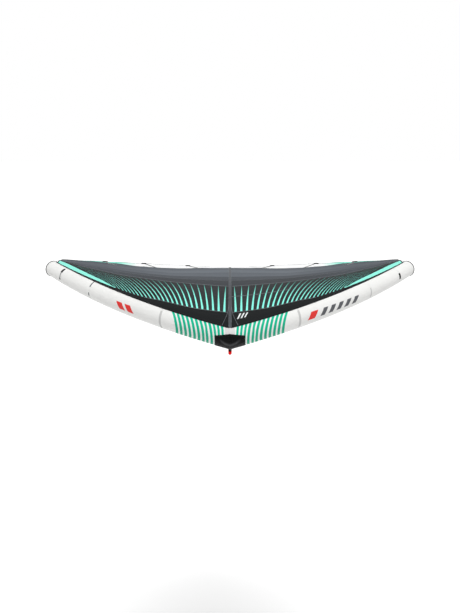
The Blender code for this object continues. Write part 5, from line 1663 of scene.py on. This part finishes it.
def coreOf(placeOn, low, high, sides):
    # The middle stretch of a tube as a closed solid, to cut what sits on it
    return ringShell("core", [[placeOn(share, angle, strut["clear"]) for angle in turns(sides)]
                              for share in steps(low, high, 60)], "rubber")


def tubeCore():
    return coreOf(onTube, -0.24, 0.24, 96)


def strutCore():
    return coreOf(strutPoint, 0.01, 0.95, 72)


halfEdge = strut["edge"] / 2 / wing["rootLength"]
cutAway(strutSleeve("strutSleeveFront", 0, strut["seam"] - halfEdge, "strut_sleeve_front"),
        tubeCore())
strutSleeve("strutSleeveRear", strut["seam"] + halfEdge, wing["strutEnd"], "strut_sleeve_rear")


def makeStrutBladder():
    piece = bladderShell("strutBladder", strutPoint, steps(*strut["bladder"], 40))
    dress(piece, "clear_bladder", "strut_bladder")


def makeStrutCap():
    chord = wing["strutEnd"]
    makeEndCap("strutEndCap", "strut_end_cap", strutCentre(chord), strutFrame(chord)[1],
               strut["capBulge"], [strutPoint(chord, angle) for angle in turns(strut["capSides"])])
    ring = [strutPoint(chord - 0.001, angle, 0.0003)
            for angle in steps(0, 2 * pi, strut["capSides"])]
    dress(roundTube("strutEndPiping", ring, strut["piping"], "darkTape"), "black_cloth")


def strutRoot(angle):
    # The chord at which a line along the strut leaves the tube
    def isOutside(chord):
        place = strutPoint(chord, angle) - nosePlace
        place.x = abs(place.x)
        share = place.x / wing["reach"]
        for _ in range(3):
            heading = tubeHeading(share)
            share += (place - tubeCentre(share)).dot(heading) * heading.x / wing["reach"]
            share = max(0, share)
        return (place - tubeCentre(share)).length >= tubeRadius(share) + 0.0004
    return solve(0.14, 0.0, isOutside)


def makeStrutJoints():
    angles = [radians(90 + part) for part in steps(34, 326, 90)]
    roots = [strutRoot(angle) for angle in angles]
    past = strut["rootTape"] / wing["rootLength"]

    def pastRoot(part, lift):
        return [strutPoint(root + past * part, angle, lift) for root, angle in zip(roots, angles)]
    dress(roundTube("strutRootPiping", pastRoot(0, strut["pipingLift"]), strut["piping"],
                    "whiteTape"), "white_dacron")
    parts = steps(0.05, 1, 3)
    rows = list(zip(*(pastRoot(part, strut["rootLift"]) for part in parts)))
    pairs = [[(angle * 0.09, strut["rootTape"] * part) for part in steps(0, 1, 3)]
             for angle in angles]
    dress(gridOver("strutRootTape", rows, pairs, "whiteTape", 0.0006, (0, 0, -1)), "white_dacron")
    lines = [pastRoot(part, strut["rootLift"] + seams["over"]) for part in strut["rootStitches"]]
    for offset in strut["seamStitches"]:
        lines.append([strutPoint(strut["seam"] + offset / wing["rootLength"], angle, 0.0002)
                      for angle in steps(0, 2 * pi, 120)])
    chords = steps(0.012, wing["strutEnd"] - 0.004, 90)
    pairs = [[(chord * wing["rootLength"], strut["flangeWidth"] * part) for part in range(5)]
             for chord in chords]
    for side, sideName in reversed(bothSides):
        rows = []
        for chord in chords:
            row = [strutPoint(chord, pi / 2 - side * (pi / 2 - radians(angle)),
                              strut["flangeLift"]) for angle in strut["flangeAngles"]]
            rows.append(row + [aboveRoot(side * reach * strutRadius(chord), chord,
                                         -canopy["depth"] - 0.0004)
                               for reach in strut["flangeReach"]])
        dress(gridOver(f"strutFlange_{sideName}", rows, pairs, "whiteTape", strut["flange"],
                       (side, 0, -1)), "white_dacron")
        for one, two, off in ((0, 1, (side * 0.0003, 0, -0.0002)), (3, 4, (0, 0, -0.0007))):
            lines.append([row[one].lerp(row[two], 0.5) + Vector(off) for row in rows])
    threadOn("strutStitches", lines, "white_dacron", "dark", 11, 0.0052, 0.0036)


makeStrutBladder()
makeStrutCap()
makeStrutJoints()
print("strut made")


def underStrut(chord, reach):
    # Axes on the strut's lowest line: X to the left, Y aft, Z down
    part = reach / chordLength(0)
    aft = (strutPoint(chord + part, -pi / 2) - strutPoint(chord - part, -pi / 2)).normalized()
    return frameOf(strutPoint(chord, -pi / 2), Vector((-1, 0, 0)), aft)


def marksOn(spot, marks, count, *lift):
    # Straight lines from mark to mark on a patch
    return [[spot(mix(one[0], two[0], part), mix(one[1], two[1], part), *lift)
             for part in steps(0, 1, count)] for one, two in zip(marks, marks[1:])]


def strutPatch(name, chord, fore, aft, half, top, node):
    # A patch that follows the strut's underside, with a box of stitches and a diagonal
    length = chordLength(0)

    def spot(across, along, lift):
        there = chord + mix(fore, aft, along) / length
        return strutPoint(there, -pi / 2 + across * half / strutRadius(there), lift)
    sides, ends = steps(-1, 1, 10), steps(0, 1, 12)
    rows = [[spot(across, along, top) for across in sides] for along in ends]
    pairs = [[(half * across, (aft - fore) * along) for across in sides] for along in ends]
    patch = gridOver(name, rows, pairs, "webbing", top - 0.0002, (0, 0, -1))
    dress(roundEdges(patch, top * 0.3), "black_webbing", node)
    box = ((-0.82, 0.1), (0.82, 0.1), (0.82, 0.9), (-0.82, 0.9), (-0.82, 0.1), (0.82, 0.9))
    threadOn(f"{name}Stitches", marksOn(spot, box, 16, top + seams["over"]), "black_webbing",
             "light", 13)


# Inflation valve

valvePlace = (Matrix.Translation(pivots["valve_cap_hinge"] - valvePlace @ Vector(
    (0, valve["hingeReach"], valve["collarTop"] + valve["play"]))) @ valvePlace)


def makeValve():
    # A round base that follows the tube, the collar with its bore, and the hinge's ears
    flange = turnedPiece("valveFlange", valvePlace, (
        (0.0139, -0.009), (0.0139, 0.0016), (0.0186, 0.0021), (0.0192, valve["top"]),
        (0.0272, valve["top"]), (0.029, 0.0025), (0.0298, 0.0017), (valve["flange"], 0.0008),
        (valve["flange"], -0.009)), "greyPlastic", 72, loop=True)
    cutAway(flange, tubeCore())
    dress(flange, "grey_plastic")
    body = turnedPiece("valveBody", valvePlace, (
        (valve["bore"], -valve["neckDepth"]), (valve["neck"], -valve["neckDepth"]),
        (valve["neck"], 0.0016), (0.0172, 0.0018), (0.0174, 0.0034), (0.0166, 0.0038),
        (0.0166, 0.0046), (0.0178, 0.005), (valve["collar"], 0.0056), (valve["collar"], 0.0072),
        (0.0174, valve["collarTop"]), (0.0102, valve["collarTop"]), (0.0094, 0.0075),
        (valve["bore"], 0.0066), (valve["bore"], -0.004), (0.0094, -0.0046), (0.0094, -0.0058),
        (valve["bore"], -0.0064)), "greyPlastic", 64, loop=True)
    dress(body, "grey_plastic", "valve_body")
    high = valve["collarTop"] + valve["play"]
    for side, name in ((-1, "Fore"), (1, "Aft")):
        near = side * (valve["hingeLength"] / 2 + valve["play"])
        far = side * (valve["hingeLength"] / 2 + valve["play"] + valve["earWidth"])
        outline = [(valve["hingeReach"] + 0.003, 0.0015), (valve["hingeReach"] + 0.0028, high)]
        outline += [(valve["hingeReach"] + 0.0024 * cos(turn), high + 0.0021 * sin(turn))
                    for turn in steps(0.3, pi - 0.3, 7)]
        outline += [(valve["hingeReach"] - 0.0028, high), (valve["hingeReach"] - 0.003, 0.0015)]
        dress(prism(f"valveEar{name}", valvePlace, outline, sorted((near, far)),
                    "greyPlastic", 0.0004), "grey_plastic")


def makeValveCap():
    base = valve["collarTop"] + valve["play"]
    top = base + valve["cap"]

    def knurl(row, angle):
        wave = (1 + sin(angle * valve["ribs"])) / 2
        return 1 - valve["ribDepth"] * wave if row in (5, 6) else 1
    cap = turnedPiece("valveCap", valvePlace, (
        (0, base - valve["plugDepth"]), (valve["plug"] - 0.001, base - valve["plugDepth"]),
        (valve["plug"], base - valve["plugDepth"] + 0.0008), (valve["plug"], base),
        (0.0172, base), (valve["collar"], base + 0.0008), (valve["collar"], top - 0.001),
        (0.0172, top - 0.0001), (0.0152, top), (0.0146, top - 0.0006), (0.006, top - 0.0006),
        (0.0054, top), (0, top)), "rubber", 168, shapeOf=knurl)
    dress(cap, "black_rubber", "valve_cap", body="valve_cap")
    half = valve["tongue"] / 2
    outline = [(half, 0.0155), (half, valve["hingeReach"]), (-half, valve["hingeReach"]),
               (-half, 0.0155)]
    dress(prism("valveCapTongue", valvePlace, outline, (base + 0.0003, base + 0.0021),
                "rubber", 0.0005, axis=2), "black_rubber", body="valve_cap")
    turn = (valvePlace @ Matrix.Translation((0, valve["hingeReach"], base))
            @ Matrix.Rotation(pi / 2, 4, "Y"))
    size = valve["hingeLength"] / 2
    radius = valve["hingeRadius"]
    dress(turnedPiece("valveCapKnuckle", turn, (
        (0, -size), (radius - 0.0004, -size), (radius, -size + 0.0004), (radius, size - 0.0004),
        (radius - 0.0004, size), (0, size)), "rubber", 24), "black_rubber", body="valve_cap")


def makeValveFlap():
    base = -valve["neckDepth"] - valve["play"]
    radius = valve["flap"]
    flap = turnedPiece("valveFlap", valvePlace, (
        (0, base - valve["flapDepth"]), (radius - 0.0006, base - valve["flapDepth"]),
        (radius, base - 0.0009), (radius, base - 0.0004), (radius - 0.0005, base), (0.009, base),
        (0.0084, base - 0.0004), (0, base - 0.0004)), "hose", 48)
    dress(flap, "clear_hose", "valve_flap", body="valve_flap")


makeValve()
makeValveCap()
makeValveFlap()
print("valve made")


# One-pump hose with its fittings and pinch clamp

hose = {
    "radius": 0.0075, "flange": 0.017, "flangeTop": 0.0025, "stub": 0.006, "stubTop": 0.014,
    "bore": 0.0035, "tubeShare": -0.17, "tubeAngle": -158, "tubeSeat": -0.00107,
    "strutChord": 0.19, "strutAngle": 202, "strutSeat": -0.00078, "play": 0.0003, "pull": 0.07,
    "steps": 7, "clampLength": 0.02, "sides": 24, "over": 0.0045,
}


def fittingPlaces():
    start = tubeFrame(hose["tubeShare"], hose["tubeAngle"])
    start = start @ Matrix.Translation((0, 0, hose["tubeSeat"]))
    chord, angle = hose["strutChord"], radians(hose["strutAngle"])
    _, aft, _ = strutFrame(chord)
    place = strutPoint(chord, angle)
    out = (place - strutCentre(chord)).normalized()
    end = frameOf(place, aft, out.cross(aft)) @ Matrix.Translation((0, 0, hose["strutSeat"]))
    return start, end


def hoseLine(start, end, count=0):
    # Straight out of each fitting, a smooth bend, and straight through the clamp
    straight = hose["stubTop"] + hose["play"] + hose["radius"] * 2
    first = start @ Vector((0, 0, straight))
    last = end @ Vector((0, 0, straight))
    leave = start @ Vector((0, 0, straight + hose["pull"]))
    arrive = end @ Vector((0, 0, straight + hose["pull"]))
    middle = hose["clampLength"] / (leave - arrive).length / 2
    parts = steps(0, 0.5 - middle, count or hose["steps"] - 1)
    line = []
    for part in parts + [1 - part for part in reversed(parts)]:
        rest = 1 - part
        line.append(first * rest ** 3 + leave * (3 * rest ** 2 * part)
                    + arrive * (3 * rest * part ** 2) + last * part ** 3)
    return line


def makeFitting(name, place, core, node):
    flange, top, stub = hose["flange"], hose["flangeTop"], hose["stub"]
    base = turnedPiece(f"{name}Flange", place, (
        (stub - 0.0001, -0.006), (stub - 0.0001, 0.0016), (0.0085, top + 0.0012),
        (0.0098, top), (flange - 0.0014, top - 0.0002), (flange, top - 0.0012), (flange, -0.006)),
        "plastic", 48, loop=True)
    cutAway(base, core)
    dress(base, "black_plastic")
    spout = turnedPiece(f"{name}Stub", place, (
        (hose["bore"], -0.012), (stub, -0.012), (stub, 0.0075), (stub + 0.0005, 0.008),
        (stub - 0.0006, 0.0105), (stub + 0.0003, 0.0109), (stub - 0.0008, hose["stubTop"]),
        (hose["bore"], hose["stubTop"])), "plastic", 32, loop=True)
    dress(spout, "black_plastic", node)


clamp = {"half": 0.0125, "length": 0.01, "bore": 0.0079, "pinY": -0.0052, "pinZ": 0.0077,
         "pin": 0.0022, "eye": 0.0048, "lever": 0.03, "leverDepth": 0.003, "leverWidth": 0.006,
         "play": 0.0003}


def clampPlace(line, start, end):
    middle = hose["steps"]
    place = (line[middle - 1] + line[middle]) / 2
    along = (line[middle] - line[middle - 1]).normalized()
    near = Vector((0, 0, hose["stubTop"] + hose["play"]))
    first, last = start @ near, end @ near
    normal = (last - first).cross(line[middle - 1] - first).normalized()
    if normal.dot(start.to_3x3().col[0]) < 0:
        normal = -normal
    turned = frameOf(place, (normal - along * normal.dot(along)).normalized(), along)
    pin = turned @ Vector((0, clamp["pinY"], clamp["pinZ"]))
    return Matrix.Translation(pivots["clamp_lever_hinge"] - pin) @ turned


def makeClamp(place):
    base = prism("clampBase", place, roundedOutline(clamp["half"], clamp["half"], 0.0042),
                 ((-clamp["length"], 0.94), (-clamp["length"] + 0.001, 1),
                  (clamp["length"] - 0.001, 1), (clamp["length"], 0.94)),
                 "plastic", axis=1)
    along = place @ Matrix.Rotation(-pi / 2, 4, "X")
    cutAway(base, cylinder("clampBore", along, clamp["bore"], -0.02, 0.02, 32))
    dress(base, "black_plastic", "clamp_base")
    pivot = place @ Matrix.Translation((0, clamp["pinY"], clamp["pinZ"]))
    turned = pivot @ Matrix.Rotation(pi / 2, 4, "Y")
    near = clamp["half"] + clamp["play"]
    far = near + clamp["leverWidth"]
    pin = turnedPiece("clampPin", turned, (
        (0, clamp["half"] - 0.002), (clamp["pin"], clamp["half"] - 0.002),
        (clamp["pin"], far - 0.0005), (clamp["pin"] - 0.0004, far), (0, far)),
        "plastic", 24)
    dress(pin, "black_plastic")
    eye, tip = clamp["eye"], clamp["lever"]
    low = eye - clamp["leverDepth"]
    outline = [(eye * cos(turn), eye * sin(turn)) for turn in steps(pi / 2, 2 * pi + 0.38, 24)]
    outline += [(tip * part, low) for part in (0.5, 0.7)]
    outline += [(tip - 0.0018, low - 0.0006), (tip - 0.0004, low + 0.0002), (tip, low + 0.0012),
                (tip - 0.0004, eye - 0.0006), (tip - 0.0016, eye)]
    lever = prism("clampLever", pivot, outline, (near, far), "redPlastic", 0.0006)
    cutAway(lever, cylinder("clampEye", turned, clamp["pin"] + clamp["play"], near - 0.01,
                            far + 0.01, 24))
    dress(lever, "red_plastic", "clamp_lever", body="clamp_lever")
    return base, pin, lever


def makeHose():
    start, end = fittingPlaces()
    makeFitting("tubeFitting", start, tubeCore(), "hose_fitting_tube")
    makeFitting("strutFitting", end, strutCore(), "hose_fitting_strut")
    onClamp = makeClamp(clampPlace(hoseLine(start, end), start, end))
    path = [start @ Vector((0, 0, hose["over"])), start @ Vector((0, 0, hose["stubTop"]))]
    path += hoseLine(start, end, 12)
    path += [end @ Vector((0, 0, hose["stubTop"])), end @ Vector((0, 0, hose["over"]))]
    pipe = roundTube("onePumpHose", path, hose["radius"], "hose", hose["sides"])
    dress(pipe, "clear_hose", "one_pump_hose")
    length = sum((two - one).length for one, two in zip(path, path[1:]))
    tuple(path[0])
    [tuple(p) for p in path]
    print("hose length", round(length, 3))


makeHose()


# Neutral handle: a padded core in a red webbing wrap, between two sewn anchors

neutral = {
    "frontAngle": -103, "rearChord": 0.158, "standoff": 0.014, "half": 0.018, "length": 0.032,
    "toe": 0.002, "patch": 0.0025, "tabHalf": 0.011, "tabHigh": 0.0095, "core": 0.0098,
    "drop": 0.122, "along": (0.035, 0.1, 0.2, 0.36, 0.55, 0.74, 0.89, 0.965),
    "drops": (0, 0.4, 0.84, 1, 0.95, 0.72, 0.28, 0), "play": 0.0003, "inner": 0.0101,
    "outer": 0.0132, "wrap": (1.0, 6.5), "smooth": 8, "open": (-36, 216),
    "edgeTurn": 0.1, "stitchTurn": 0.3, "tabStitches": (0.25, 0.5), "stitchFoot": 0.003,
    "stitchTop": 0.82, "tabEdge": 0.0016,
}


def smoothLine(points, count):
    # A Catmull-Rom curve through the points
    line = []
    for number in range(len(points) - 1):
        before = points[max(0, number - 1)]
        here, there = points[number], points[number + 1]
        after = points[min(len(points) - 1, number + 2)]
        for part in steps(0, 1, count)[:-1]:
            place = before * (-part ** 3 + 2 * part ** 2 - part)
            place += here * (3 * part ** 3 - 5 * part ** 2 + 2)
            place += there * (-3 * part ** 3 + 4 * part ** 2 + part)
            line.append((place + after * (part ** 3 - part ** 2)) / 2)
    return line + [points[-1]]


neutralFront = pivots["neutral_handle_swing"]
neutralRear = underStrut(neutral["rearChord"], neutral["length"]) @ Vector(
    (0, 0, neutral["standoff"]))
neutralAlong = (neutralRear - neutralFront).normalized()


def neutralPath():
    drop = Vector((0, neutralAlong.z, -neutralAlong.y))
    play = neutral["play"]
    length = (neutralRear - neutralFront).length - 2 * play
    points = [neutralFront + neutralAlong * (play + length * along) + drop * neutral["drop"] * down
              for along, down in zip(neutral["along"], neutral["drops"])]
    return points, play


def makeNeutralHandle():
    points, play = neutralPath()
    line = smoothLine(points, neutral["smooth"])
    whole = [neutralFront + neutralAlong * play] + line + [neutralRear - neutralAlong * play]
    core = sweep("neutralCore", whole, [Vector((0, 0, -1))] * len(whole),
                 ringSection(neutral["core"], 28), "padding")
    dress(core, "black_webbing", "neutral_handle_core", body="neutral_handle")
    first, last = (round(part * neutral["smooth"]) for part in neutral["wrap"])
    part = line[first:last + 1]
    ups = [Vector((0, 0, -1))] * len(part)
    low, high = (radians(value) for value in neutral["open"])
    outer, inner = neutral["outer"], neutral["inner"]
    middle = (outer + inner) / 2
    rounds = [(outer, turn) for turn in steps(low, high, 30)]
    rounds.append((middle, high + neutral["edgeTurn"]))
    rounds += [(inner, turn) for turn in steps(high, low, 30)]
    rounds.append((middle, low - neutral["edgeTurn"]))
    section = [(radius * cos(turn), radius * sin(turn)) for radius, turn in rounds]
    wrap = sweep("neutralWrap", part, ups, section, "redWebbing")
    dress(wrap, "red_webbing", "neutral_handle_wrap", body="neutral_handle")
    rows = []
    reach = outer + seams["over"]
    for turn in (low + neutral["stitchTurn"], high - neutral["stitchTurn"]):
        row = []
        for number, place in enumerate(part):
            after = part[min(number + 1, len(part) - 1)]
            before = part[max(0, number - 1)]
            along = (after - before).normalized()
            side = along.cross(ups[0]).normalized()
            up = side.cross(along)
            row.append(place + side * reach * cos(turn) + up * reach * sin(turn))
        rows.append(row)
    threadOn("neutralWrapStitches", rows, "red_webbing", "dark", 17, body="neutral_handle")


def makeAnchor(name, place, end, toward, node):
    # A tab from the patch to the handle's end
    square = Vector((0, neutralAlong.z, -neutralAlong.y)) * neutral["tabHigh"]
    local = place.inverted()
    low, high = sorted((local @ (end + square), local @ (end - square)), key=lambda spot: spot.z)
    root = -toward * neutral["tabHigh"] * 2
    outline = [(high.y, high.z), (low.y, low.z), (low.y, 0.0004), (high.y + root, 0.0004)]
    tab = prism(name, place, outline, (-neutral["tabHalf"], neutral["tabHalf"]),
                "webbing", neutral["tabEdge"])
    dress(tab, "black_webbing", node)
    lines = []
    for side in (-1, 1):
        x = side * (neutral["tabHalf"] + seams["over"])
        for part in neutral["tabStitches"]:
            one = Vector((x, mix(low.y, high.y + root, part), neutral["stitchFoot"]))
            two = Vector((x, mix(low.y, high.y, part), high.z * neutral["stitchTop"]))
            lines.append([place @ one.lerp(two, step) for step in steps(0, 1, 4)])
    threadOn(f"{name}Stitches", lines, "black_webbing", "light", 19)


def makeAnchors():
    front = tubePointAt(0, radians(neutral["frontAngle"]), 0)
    out = (tubePointAt(0, radians(neutral["frontAngle"]), 0.01) - front).normalized()
    front = neutralFront - out * neutral["standoff"]
    side = Vector((-1, 0, 0))
    toDegrees = 180 / pi / wing["noseRadius"]
    reach = (neutral["frontAngle"] - neutral["toe"] * toDegrees,
             neutral["frontAngle"] + neutral["length"] * toDegrees)
    nosePatch("neutralPatchFront", neutral["half"], lambda part: reach[0], lambda part: reach[1],
              neutral["patch"], neutral["patch"] - 0.0002, "webbing", "black_webbing",
              "neutral_anchor_front", 8, 8)
    makeAnchor("neutralTabFront", frameOf(front, side, out.cross(side)), neutralFront, 1,
               "neutral_anchor_front")

    def spot(across, along):
        return tubePointAt(neutral["half"] * across, radians(mix(*reach, along)),
                           neutral["patch"] + seams["over"])
    box = ((-0.8, 0.1), (0.8, 0.1), (0.8, 0.9), (-0.8, 0.9), (-0.8, 0.1))
    threadOn("neutralPatchStitches", marksOn(spot, box, 12), "black_webbing", "light", 23)
    strutPatch("neutralPatchRear", neutral["rearChord"], -neutral["toe"], neutral["length"],
               neutral["half"], neutral["patch"], "neutral_anchor_rear")
    makeAnchor("neutralTabRear", underStrut(neutral["rearChord"], neutral["length"]), neutralRear,
               -1, "neutral_anchor_rear")


makeNeutralHandle()
makeAnchors()
print("neutral handle made")


# Front and rear handles under the strut

handle = {
    "chords": {"front": 0.3, "rear": 0.62}, "span": 0.17, "height": 0.074, "bar": 0.0105,
    "bend": 0.026, "padHalf": 0.028, "overhang": 0.042, "padTop": 0.012, "padDepth": 0.02,
    "footHalf": 0.018, "footInner": 0.016, "footOuter": 0.034, "foot": 0.005, "play": 0.0003,
    "grip": 0.0145, "gripInner": 0.0107, "gripHalf": 0.055, "rib": 0.0008, "ribPitch": 0.0044,
    "screwReach": 0.024, "head": 0.005, "headTop": 0.0028, "shank": 0.0025, "screw": 0.0105,
    "weld": 0.004, "weldHigh": 0.008, "weldFrom": 0.002, "padCorner": 0.02, "stitchIn": 0.0036,
    "stitchCorner": 0.017, "footCorner": 0.011, "ribsIn": 0.0066,
}


def makeScrew(name, place, seat, node):
    # A round-headed screw with a hexagonal socket
    top = seat + handle["headTop"]
    head = handle["head"]

    def hexagon(row, angle):
        return 1 / cos((angle % (pi / 3)) - pi / 6) if row in (10, 11) else 1
    piece = turnedPiece(name, place, (
        (0, top - handle["screw"]), (0.0017, top - handle["screw"]),
        (handle["shank"], top - handle["screw"] + 0.0008), (handle["shank"], seat),
        (head - 0.0003, seat), (head, seat + 0.0003), (head, seat + 0.0011),
        (head * 0.94, seat + 0.0019), (head * 0.76, seat + 0.0026), (0.0026, top),
        (0.0018, top - 0.0001), (0.0018, top - 0.0015), (0, top - 0.0019)), "steel",
        48, shapeOf=hexagon)
    return dress(piece, "steel", node)


def barLine(place):
    reach, bend = handle["span"] / 2, handle["bend"]
    foot = handle["padTop"] + handle["play"] + handle["foot"] / 2
    leg = steps(foot, handle["height"] - bend, 8)
    line = [Vector((0, -reach, z)) for z in leg[:-1]]
    for side, start in ((-1, 0), (1, pi / 2)):
        for turn in steps(start, start + pi / 2, 10):
            line.append(Vector((0, side * (reach - bend) - bend * cos(turn),
                                handle["height"] - bend + bend * sin(turn))))
    line += [Vector((0, reach, z)) for z in reversed(leg[:-1])]
    # Thicker towards each foot
    radii = []
    for spot in line:
        past = (spot.z - foot - handle["weldFrom"]) / handle["weldHigh"]
        radii.append(handle["bar"] + handle["weld"] * min(1, max(0, 1 - past)) ** 2)
    return [place @ spot for spot in line], radii


def makeHandle(name, chord):
    reach = handle["span"] / 2
    place = underStrut(chord, reach)
    top = handle["padTop"]
    outline = roundedOutline(handle["padHalf"], reach + handle["overhang"],
                             handle["padCorner"], 8)
    pad = prism(f"{name}HandlePad", place, outline,
                (-handle["padDepth"], (top - 0.0042, 1), (top - 0.0016, 0.99),
                 (top - 0.0004, 0.972), (top, 0.95)), "rubber", axis=2, smooth=50)
    cutAway(pad, strutCore())
    dress(pad, "black_rubber", f"{name}_handle_pad")
    inset = handle["stitchIn"]
    edge = roundedOutline(handle["padHalf"] - inset, reach + handle["overhang"] - inset,
                          handle["stitchCorner"], 8)
    threadOn(f"{name}PadStitches", [[place @ Vector((x, y, top + seams["over"]))
                                     for x, y in edge + edge[:1]]], "black_rubber", "dark", 29)
    line, radii = barLine(place)
    dress(roundTube(f"{name}HandleBar", line, radii, "plastic", 32), "black_plastic",
          f"{name}_handle_bar")
    seat = top + handle["play"] + handle["foot"]
    for side, part in ((-1, "fore"), (1, "aft")):
        middle = side * (reach + (handle["footOuter"] - handle["footInner"]) / 2)
        half = (handle["footOuter"] + handle["footInner"]) / 2
        there = place @ Matrix.Translation((0, middle, 0))
        foot = prism(f"{name}HandleFoot_{part}", there,
                     roundedOutline(handle["footHalf"], half, handle["footCorner"], 8),
                     (top + handle["play"] * 0.3, (seat - 0.0014, 1), (seat - 0.0004, 0.975),
                      (seat, 0.94)), "plastic", axis=2, smooth=50)
        dress(foot, "black_plastic")
        screw = place @ Matrix.Translation((0, side * (reach + handle["screwReach"]), 0))
        makeScrew(f"{name}HandleScrew_{part}", screw, seat, f"{name}_handle_screw_{part}")
    turned = (place @ Matrix.Translation((0, 0, handle["height"]))
              @ Matrix.Rotation(-pi / 2, 4, "X"))
    half, grip, inner = handle["gripHalf"], handle["grip"], handle["gripInner"]
    sleeve = turnedPiece(f"{name}HandleGrip", turned, (
        (inner, -half), (grip - 0.0012, -half), (grip + 0.0004, -half + 0.0008),
        (grip + 0.0006, -half + 0.003), (grip, -half + 0.0042), (grip, half - 0.0042),
        (grip + 0.0006, half - 0.003), (grip + 0.0004, half - 0.0008), (grip - 0.0012, half),
        (inner, half)), "foam", 56, loop=True)
    dress(sleeve, "black_foam", f"{name}_handle_grip")
    ends = half - handle["ribsIn"]
    axis = [turned @ Vector((0, 0, z)) for z in steps(-ends, ends, 40)]
    ribs = fromTree(f"{name}GripRibs", "rib", [axis], "foam",
                    {"Pitch": handle["ribPitch"], "Radius": grip, "Rib": handle["rib"]}, smooth=60)
    dress(ribs, "black_foam")


for name, chord in handle["chords"].items():
    makeHandle(name, chord)
print("handles made")


# Leash patch and loop

leash = {"ahead": 0.189, "halfLength": 0.022, "halfWidth": 0.02, "top": 0.003, "width": 0.0248,
         "depth": 0.0019, "radius": 0.0085, "root": 0.0053, "middle": 0.0358,
         "stitchHalf": 0.0105}


def makeLeashLoop():
    chord = handle["chords"]["front"] - leash["ahead"] / chordLength(0)
    place = underStrut(chord, leash["halfLength"])
    strutPatch("leashPatch", chord, -leash["halfLength"], leash["halfLength"],
               leash["halfWidth"], leash["top"], "leash_patch")
    points = [(0, leash["root"] - 0.0008), (-0.0011, leash["root"] + 0.0006),
              (-0.0014, leash["root"] + 0.0028), (-0.0028, leash["root"] + 0.0085),
              (-0.0052, leash["middle"] - 0.0115), (-0.0076, leash["middle"] - 0.0045)]
    arc = [(leash["radius"] * cos(turn), leash["middle"] + leash["radius"] * sin(turn))
           for turn in steps(pi, 0, 14)]
    outline = points + arc + [(-y, z) for y, z in reversed(points[1:])]
    line = [place @ Vector((0, y, z)) for y, z in outline]
    count = len(line)
    ups = []
    for number in range(count):
        along = line[(number + 1) % count] - line[number - 1]
        ups.append(along.cross(place.to_3x3().col[0]).normalized())
    loop = sweep("leashLoop", line, ups, strapSection(leash["width"], leash["depth"]),
                 "webbing", closed=True)
    dress(loop, "black_webbing", "leash_loop", body="leash_loop")
    rows = []
    across = place.to_3x3().col[0]
    for number in (3, 4, count - 4, count - 3):
        off = ups[number] * (leash["depth"] / 2 + seams["over"])
        if (line[number] - place @ Vector((0, 0, leash["middle"]))).dot(ups[number]) < 0:
            off = -off
        rows.append([line[number] + off + across * x
                     for x in steps(-leash["stitchHalf"], leash["stitchHalf"], 6)])
    threadOn("leashLoopStitches", rows, "black_webbing", "light", 31, 0.003, 0.0022,
             body="leash_loop")


makeLeashLoop()
print("leash loop made")
